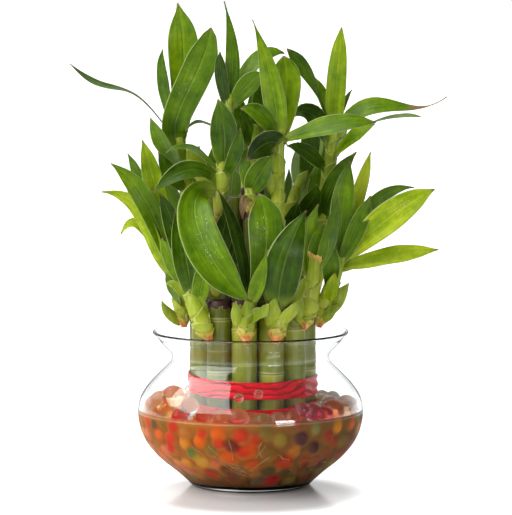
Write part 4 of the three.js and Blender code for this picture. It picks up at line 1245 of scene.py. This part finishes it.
def roots():
    """Thin roots that leave the canes' feet and wander among the beads close to the glass."""
    body = Body()
    for line in ROOTS:
        inwards = [bead_centre(*line[0], 9.0), *(bead_centre(*spot, 0.42) for spot in line)]
        inwards.append(bead_centre(*line[-1], 7.0))
        body.add(*strand(inwards, chance.uniform(0.12, 0.2), 0.6))
    others = [(chance.uniform(40, 320), chance.uniform(16, 24)) for _ in range(REAR_ROOTS)]
    for turn, height in [*ROOT_STARTS, *others]:
        points = []
        swing = chance.uniform(-1, 1)
        for k, depth in enumerate(ROOT_DEPTHS):
            here = turn + swing * k * ROOT_SWING + chance.uniform(-1.5, 1.5)
            level = height - ROOT_FALL * k + chance.uniform(-0.8, 0.8)
            points.append(bead_centre(here, max(level, LOWEST_ROOT), depth))
        body.add(*strand(points, chance.uniform(0.22, 0.36), 0.35))
    body.build("roots", "gel_beads_in_water", "cane", root_material())


def cane_place(name):
    """How far from the bundle's middle a plant's cane stands, at what angle, its radius and the height
    of its first node. A plant's name is its ring and its place in the ring."""
    ring, _, place = name.partition("_")
    if ring == "centre":
        return 0.0, 0.0, INNER_RADIUS, FIRST_NODE + NODE_STAGGER
    slot = int(place) - 1
    first = FIRST_NODE + NODE_STAGGER * (slot % 2)
    if ring == "outer":
        return OUTER_RING, math.radians(OUTER_START + OUTER_STEP * slot - 90), OUTER_RADIUS, first
    first += NODE_STAGGER / 2
    return INNER_RING, math.radians(INNER_START + INNER_STEP * slot - 90), INNER_RADIUS, first


def cane_heights(nodes, top, waxed):
    """The heights of a cane's rings: even ones, and close ones at its nodes and where wax ends."""
    heights = set(np.arange(CANE_FOOT, top - 1.4, CANE_STATION).tolist())
    if waxed:
        heights.update(np.arange(top - 7.5, top - 1.2, 0.6).tolist())
    for node in nodes:
        heights.update((node + np.array(NODE_STATIONS)).tolist())
    return sorted(height for height in heights if CANE_FOOT <= height <= top - 1.0)


def cane(name, number, top, material):
    """A jointed cane: a thin ridge and scar at each node, and a sealed, slightly sunken top. Each point
    carries its distance from the nearest node in centimetres, the cane's tint, and how waxed it is."""
    away, angle, radius, first = cane_place(name)
    middle = circle(away, angle, [0], BUNDLE_X)
    tint = CANE_TINTS.get(name, 0.5 + 0.5 * math.sin(number * 2.4 + 0.6))
    dip = WAXED.get(name, 0.0)
    nodes = np.arange(first, top - BARE_TOP, NODE_SPACING)
    turns = full_turn(CANE_SIDES)
    seed = number * CANE_SEED
    rings = []
    values = []

    def ring(reach, height, mark, cut):
        rings.append(circle(reach, turns, height) + middle)
        values.append(np.stack(np.broadcast_arrays(mark, tint, cut, turns), axis=1)[:, :3])

    for height in cane_heights(nodes, top, dip):
        gaps = nodes - height
        above = min([*gaps[gaps > 0], NO_NODE])
        below = min([*-gaps[gaps <= 0], NO_NODE])
        nearest = above if above < below else -below
        ridge = NODE_BULGE * math.exp(-(nearest / NODE_WIDTH) ** 2)
        ridge -= NODE_WAIST * math.exp(-((nearest + WAIST_BELOW) / WAIST_WIDTH) ** 2)
        mark = -above / 10 if above < below * 1.6 else below / 10
        if abs(nearest) < 0.45:
            mark = -nearest / 10
        coated = height > top - dip * (0.8 + 0.7 * ring_noise(turns, 2, seed, 4.0))
        wave = 0.12 * ring_noise(turns, 1.2, seed, height * 0.05) - 0.06
        ring(radius + ridge + wave, height, mark, coated)
    caps = ((radius - 0.25, -0.35, 0.12), (radius - 0.8, -0.02, 0.3), (radius - 1.4, -0.1, 0.7),
            (radius * 0.45, -0.45, 1), (0.4, -0.5, 1))
    for reach, drop, cut in caps:
        level = top + drop + 0.1 * ring_noise(turns, 3, seed, cut * 5)
        ring(reach, level, 9.0, 1.0 if dip else cut)
    body = Body()
    body.add(np.concatenate(rings), tube_faces(len(rings), CANE_SIDES), cane=np.concatenate(values))
    body.build("cane_" + name + "_skin", "cane_" + name, "cane", material)


def blade_share(share, widest, root_width, root_power, tip_power):
    """Share of a blade's full width: a clasping root, a broad middle, a drawn-out tip."""
    rise = np.sin(math.pi / 2 * np.clip(share / widest, 0, 1)) ** root_power
    fall = np.cos(math.pi / 2 * np.clip((share - widest) / (1 - widest), 0, 1)) ** tip_power
    fall = fall * (1 - 0.3 * smoothstep(0.8, 1.0, share))
    return np.where(share < widest, root_width + (1 - root_width) * rise, fall)


def bract_share(share):
    """Share of a bract's full width: broad and clasping at its root, then drawn to a point."""
    return np.cos(math.pi / 2 * share ** 1.15) ** 0.9


def blade_frame(rib, share, face, seed):
    """Points along a blade's midrib, and its sideways and upward directions, slightly twisted."""
    along = rib.along(share)
    side = unit(np.cross(along, face))
    up = unit(np.cross(side, along))
    twist = BLADE_TWIST * np.sin(math.pi * share * 1.4 + seed) * share * (1 - share)
    return rib.at(share), spokes(side, up, twist), spokes(up, -side, twist)


def blade_section(share, half, clasp, towards, fold, seed):
    """How far aside and how high each column of a blade lies: it curls towards the stem by its clasp,
    and is folded, bellied and waved where it is free."""
    bend = np.maximum(clasp, 1e-3)
    aside = half * np.sin(COLUMNS * bend) / bend
    curl = towards * half * (1 - np.cos(COLUMNS * bend)) / bend
    crease = np.sqrt(COLUMNS ** 2 + CREASE_SOFTNESS) - math.sqrt(CREASE_SOFTNESS)
    belly = np.abs(COLUMNS) - COLUMNS ** 2
    ripple = np.sin(share * WAVES + seed + np.where(COLUMNS > 0, 1.7, 0)) * np.sin(math.pi * share)
    free = 1 - np.clip(clasp, 0, 1)
    shape = fold * crease - BELLY * belly + WAVE_HEIGHT * ripple * COLUMNS ** 2
    return aside, curl + free * half * shape


def leaf(body, row, line, seed):
    """One blade, clasping the stem at its root. Returns its upper face's points and the way it looks."""
    points, width, face, tone, *own = row
    *shape, dry_from, fold_share = own[0] if own else PLAIN
    path = Curve(line)
    low, high = line[0][2], line[2][2]
    seat = path.at(np.clip((points[0][2] - low) / (high - low), 0, 1))[0]
    rib = Curve([np.array(points[0]) * (1 - BLADE_SEAT) + seat * BLADE_SEAT, *points[1:]])
    bract = rib.length() < BRACT_LENGTH and not own
    t = np.linspace(0, 1, int(np.clip(rib.length() / STATION_STEP, *STATIONS)) + 1) ** 0.96
    centre, side, up = blade_frame(rib, t, face, seed)
    near = path.at(np.clip((centre[:, 2] - low) / (high - low), 0, 1))
    towards = np.sign(((near - centre) * up).sum(1))
    if bract:
        half = bract_share(t) * BRACT_WIDTH
        clasp = BRACT_CLASP_TURN * (1 - t) ** 0.8
    else:
        half = blade_share(t, *shape)
        clasp = CLASP_TURN * np.clip(1 - t / CLASP_REACH, 0, 1) ** 1.3
    half = np.maximum(width / 2 * half, TIP_HALF_WIDTH)[:, None]
    fold = fold_share * (BLADE_FOLD if width >= FOLDED_WIDTH else NARROW_FOLD)
    aside, lift = blade_section(t[:, None], half, clasp[:, None], towards[:, None], fold, seed)
    top = centre[:, None] + side[:, None] * aside[..., None] + up[:, None] * lift[..., None]
    slim = np.clip(half / FULL_HALF_WIDTH, 0.12, 1)
    thick = BLADE_THICKNESS * np.sqrt(np.clip(1 - COLUMNS ** 2, 0, 1))
    midrib = MIDRIB_HEIGHT * np.exp(-(COLUMNS / 0.1) ** 2) * (1 - 0.75 * t[:, None])
    bottom = top - up[:, None] * (slim * (thick + midrib))[..., None]
    rings = np.concatenate([top, bottom[:, -2:0:-1]], axis=1)
    across = np.concatenate([COLUMNS, COLUMNS[-2:0:-1]])
    under = np.arange(len(across)) >= len(COLUMNS)
    sides = len(across)
    values = np.stack([np.tile(across, len(t)), np.repeat(t, sides), np.full(len(t) * sides, tone)], axis=1)
    dry = np.repeat(smoothstep(dry_from, dry_from + DRYING, t), sides)
    body.add(rings.reshape(-1, 3), tube_faces(len(t), sides), SHEATH_SLOT if bract else BLADE_SLOT,
             leaf=values, under=np.tile(under, len(t)), dry=dry)
    return top, up


def swell(share):
    """The stem's radius as a share of its thickest."""
    return np.interp(share, *STEM_SWELL)


def stem_frame(path, share):
    """The centre, two cross directions and the direction of a stem at some shares."""
    along = path.along(share)
    side = unit(np.cross(along, (0.0, 1.0, 0.0)))
    return path.at(share), side, np.cross(along, side), along


def wrap_grid(reach, rows, columns):
    """Places upwards from 0 to 1, as rows, and sideways from -reach to reach, as columns."""
    return np.linspace(0, 1, rows)[:, None], np.linspace(-reach, reach, columns)


def wrap(body, path, shares, angle, size, wall, values, slot, drop=0.0, hollow_shade=0.0):
    """A thin leaf part wrapped round a stem, from grids of the places along it, angles and radii. The
    values are (across, along, tone) for the skin; its inner side has the tone shifted by the last argument,
    which the collar uses to darken its inner side as painted shade."""
    angle, size, drop, *values = (np.broadcast_to(part, shares.shape).ravel()
                                  for part in (angle, size, drop, *values))
    centre, side, other, along = stem_frame(path, shares.ravel())
    centre = centre + along * drop[:, None]
    way = spokes(side, other, angle)
    outer, inner = ((centre + way * reach[:, None]).reshape(*shares.shape, 3)
                    for reach in (size, size - wall))
    skin = np.stack(values, axis=1)
    both = np.concatenate([skin, skin + (0, 0, hollow_shade)])
    body.add(*shell(outer, inner), slot, leaf=both, under=0.0, dry=0.0)


def stem(body, line, thick, seed):
    """The stem's core and the sheaths that overlap round it, each with a slanting edge."""
    path = Curve(line)
    shares = np.linspace(0, 1, STEM_STATIONS)
    centre, side, other, _ = stem_frame(path, shares)
    core = tube(centre, thick * swell(shares) * CORE, side, other, STEM_SIDES)
    values = np.stack(np.broadcast_arrays(0.0, np.repeat(shares * 0.8, STEM_SIDES), 0.4), axis=1)
    body.add(*core, SHEATH_SLOT, leaf=values, under=0.0, dry=0.0)
    count = int(max(3, round(path.length() / SHEATH_SPACING)))
    first, span = SHEATHED
    for k in range(count):
        rise = (1.25 + 0.25 * math.sin(seed + k)) * span / count
        sheath(body, path, thick, first + span * k / count, rise, seed + k * 3.3, k / count)


def sheath(body, path, thick, start, rise, turn, tone):
    """One leaf base wrapped round the stem: high on one side, low and open on the other."""
    up, around = wrap_grid(SHEATH_WRAP, *SHEATH_GRID)
    shares = np.clip(start + up * rise * (0.55 + 0.6 * np.cos(around / 2) ** 2), 0, 1)
    lap = np.where(around > 2.2, SHEATH_LAP, 0.0)
    size = thick * swell(shares) * CORE + 0.1 + SHEATH_FLARE * up ** 2 + lap
    wrap(body, path, shares, around + turn, size, SHEATH_WALL,
         (around / SHEATH_WRAP, up, tone), SHEATH_SLOT)


def dry_scales(body, line, thick, seed):
    """Papery scales round the pointed root of a shoot: three large ones and short torn ones."""
    path = Curve(line)
    span = SCALE_SPAN / path.length()
    up, across = wrap_grid(1, *SCALE_GRID)
    for k, (turn, wide, tall, lift) in enumerate(SCALES):
        torn = np.array([0.4 * noise.noise(Vector((a * 5 + seed, k * 2.0, 0))) for a in across])
        top = span * tall * (1 - 0.35 * across ** 2 + torn)
        shares = np.clip(up * top - 0.02, 0, 1)
        angle = across * wide * (0.5 + 0.5 * up) + turn + seed * 0.3
        size = np.maximum(thick * swell(shares) + 0.25 + 0.5 * up ** 3 + lift, LEAST_SCALE_RADIUS)
        wrap(body, path, shares, angle, size, SCALE_WALL, (across, up, 0.3 + 0.12 * k), SCALE_SLOT,
             drop=-SCALE_DROP * (1 - up) ** 2)


def dried_collar(body, line, thick, seed):
    """The torn brown collar that an old leaf left round the top of a stem. Its inner side is darkened as
    painted shade in the hollow between it and the stem.
    """
    up, around = wrap_grid(COLLAR_WRAP, *COLLAR_GRID)
    torn = np.array([noise.noise(Vector((a * 4.5, seed, 3.0))) for a in around])
    shares = COLLAR_AT + COLLAR_SLANT * np.cos(around + 0.4) + up * (COLLAR_HEIGHT + 0.05 * torn)
    size = thick * swell(np.clip(shares, 0, 0.95)) + 0.3 + COLLAR_FLARE * up ** 2
    # Painted shade: the collar's inner side is 0.9 darker in tone.
    wrap(body, Curve(line), shares, around + 1.2, size, SCALE_WALL,
         (0.9 * around / COLLAR_WRAP, 0.7, 0.95 * up - 0.1), SCALE_SLOT, hollow_shade=-0.9)


def water_drops(name, top, up, material):
    """Small drops of water that lie on a blade, most of them in one loose group."""
    rows = len(top)
    body = Body()
    for _ in range(DROPS):
        row = int(np.clip(rows * (DROPS_AT + DROPS_SPREAD * chance.standard_normal()), 2, rows - 3))
        column = int(chance.integers(2, 6))
        spot = top[row, column] + chance.random() * (top[row, column + 1] - top[row, column])
        across = unit(top[row, column + 1] - top[row, column])
        normal = unit(np.cross(across, unit(top[row + 1, column] - top[row, column])))
        normal = normal * np.sign(normal @ up[row])
        points, faces = ball(chance.uniform(*DROP_SIZES), 3)
        flattened = points @ np.stack([across, 1.2 * np.cross(normal, across), 0.5 * normal])
        body.add(flattened + spot + normal * 0.1, faces)
    body.build("drops_on_" + name, "shoot_" + name, "leaf", material)


def shoot(name, number, plant, materials, drop):
    """A shoot: stem, sheaths, dry scales and blades, and drops of water on a few blades."""
    _, thick, line, leaves = plant
    body = Body()
    seed = number * SHOOT_SEED
    stem(body, line, thick, seed)
    if name not in BARE_ROOTS:
        dry_scales(body, line, thick, seed)
    if name in COLLARED:
        dried_collar(body, line, thick, seed)
    for k, row in enumerate(leaves):
        top, up = leaf(body, row, line, seed + k * LEAF_SEED)
        if WET_BLADES.get(name) == k:
            water_drops(name, top, up, drop)
    body.build("shoot_" + name + "_leaves", "shoot_" + name, "leaf", *materials)


def bundle_reach(turn):
    """How far a taut band round the outer canes lies from the bundle's middle, at a turn in degrees."""
    half = math.radians(OUTER_STEP / 2)
    off = math.radians((turn - OUTER_START) % OUTER_STEP)
    off = min(off, 2 * half - off)
    if off <= math.atan2(OUTER_RADIUS * math.sin(half), OUTER_RING + OUTER_RADIUS * math.cos(half)):
        rest = OUTER_RADIUS ** 2 - (OUTER_RING * math.sin(off)) ** 2
        return OUTER_RING * math.cos(off) + math.sqrt(rest)
    return (OUTER_RING * math.cos(half) + OUTER_RADIUS) / math.cos(half - off)


def ribbon(node, edges, left_rise, right_rise, folds, material):
    """A satin ribbon pulled round the canes, with folds that run along it."""
    turns = np.linspace(-180, 180, RIBBON_COLUMNS)
    angle = np.radians(turns)
    taut = np.array([bundle_reach(turn) for turn in turns]) + RIBBON_STANDS_OFF
    right = np.clip(np.sin(angle), 0, None) ** 2
    left = np.clip(-np.sin(angle), 0, None) ** 2
    bottom, top = (edge + right * r + left * l for edge, r, l in zip(edges, right_rise, left_rise))
    drift = ring_noise(angle, 1.6, 0, folds)
    outer, inner, values = [], [], []
    for across in np.linspace(-1, 1, RIBBON_ROWS):
        small = ring_noise(angle, 6, 0, across * 1.5 + folds)
        fold = np.sin(math.pi * (folds * across + FOLD_DRIFT * drift + FOLD_JITTER * small))
        reach = taut + FOLD_HEIGHT * fold * (1 - 0.6 * across ** 4) + CRUMPLE * small
        height = (bottom + top + across * (top - bottom)) / 2
        height = height + EDGE_WAVE * ring_noise(angle, 3, 0, 9 + across * 0.3)
        outer.append(circle(reach, angle - math.pi / 2, height, BUNDLE_X))
        inner.append(circle(reach - RIBBON_THICKNESS, angle - math.pi / 2, height, BUNDLE_X))
        # The third value is the fold's height, from which the satin paints shade into the hollows.
        values.append(np.stack(np.broadcast_arrays(turns / 180, across, 0.5 + fold * 0.5), axis=1))
    body = Body()
    body.add(*shell(np.array(outer), np.array(inner)), satin=np.concatenate(values + values))
    return body.build(node + "_satin", node, "ribbon", material)


def softbox(name, low, high, width, watts):
    """A softbox that faces the plant. Its inner edge runs from low to high, and it reaches outwards,
    away from the middle, by its width. Places are in metres."""
    low, high = Vector(low), Vector(high)
    upward = (high - low).normalized()
    outward = Vector((math.copysign(1.0, low.x), 0, 0))
    outward = (outward - outward.dot(upward) * upward).normalized()
    centre = (low + high) / 2 + outward * width / 2
    facing = outward.cross(upward)
    if facing.dot(-centre) < 0:
        facing = -facing
    data = bpy.data.lights.new(name, "AREA")
    data.shape = "RECTANGLE"
    data.size = width
    data.size_y = (high - low).length
    data.energy = watts
    lamp = bpy.data.objects.new(name, data)
    turned = Matrix((upward.cross(-facing), upward, -facing)).transposed().to_4x4()
    lamp.matrix_world = Matrix.Translation(centre) @ turned
    bpy.context.scene.collection.objects.link(lamp)


def studio_floor():
    """A white sweep, which is stage."""
    size = FLOOR_REACH
    mesh = bpy.data.meshes.new("studio_floor")
    corners = [(-size, -size, 0), (size, -size, 0), (size, size, 0), (-size, size, 0)]
    mesh.from_pydata(corners, [], [(0, 1, 2, 3)])
    mesh.materials.append(floor_material())
    floor = bpy.data.objects.new("studio_floor", mesh)
    bpy.context.scene.collection.objects.link(floor)


def surround():
    """Soft light from all round, brightest behind, with a dark flag at either side. The camera sees
    plain white."""
    s = Shader("studio_surround", "World")
    place, = s.outputs("TexCoord", "Generated")
    x, y, _ = s.split(place)
    back = y.step(*SURROUND_RANGE, FRONT_SURROUND, BACK_SURROUND)
    strength = back * abs(x).step(*FLAG_RANGE, 1.0, FLAGS)
    camera, = s.outputs("LightPath", "Is Camera Ray")
    light = s.add("Background", Color=WHITE, Strength=strength)
    bpy.context.scene.world = s.finish(s.blend(camera, light, s.add("Background", Color=WHITE)))


def camera():
    """The camera, at the photo's angle."""
    data = bpy.data.cameras.new("camera")
    data.lens = CAMERA_LENS
    data.sensor_width = 36
    data.clip_end = 50
    thing = bpy.data.objects.new("camera", data)
    thing.location = CAMERA_PLACE
    thing.rotation_euler = (math.radians(CAMERA_TILT), 0, 0)
    bpy.context.scene.collection.objects.link(thing)
    bpy.context.scene.camera = thing
    bpy.context.scene.view_settings.view_transform = "Standard"


def main():
    """Builds all that shows."""
    glass_bowl()
    water_body()
    bead_bed()
    dry_beads()
    roots()
    cane_skin = cane_material()
    leaf_skins = (leaf_material(), sheath_material(), scale_material())
    drop = lamp_glass("water_drop", WHITE, WATER_IOR)
    for number, (name, plant) in enumerate(PLANTS.items()):
        cane(name, number, plant[0], cane_skin)
        shoot(name, number, plant, leaf_skins, drop)
    satin = satin_material()
    upper = ribbon("ribbon_upper", *UPPER_RIBBON, satin)
    lower = ribbon("ribbon_lower", *LOWER_RIBBON, satin)
    studio_floor()
    surround()
    softbox("softbox_left", *SOFTBOX_LEFT)
    softbox("window_right", *WINDOW_RIGHT)
    camera()


main()
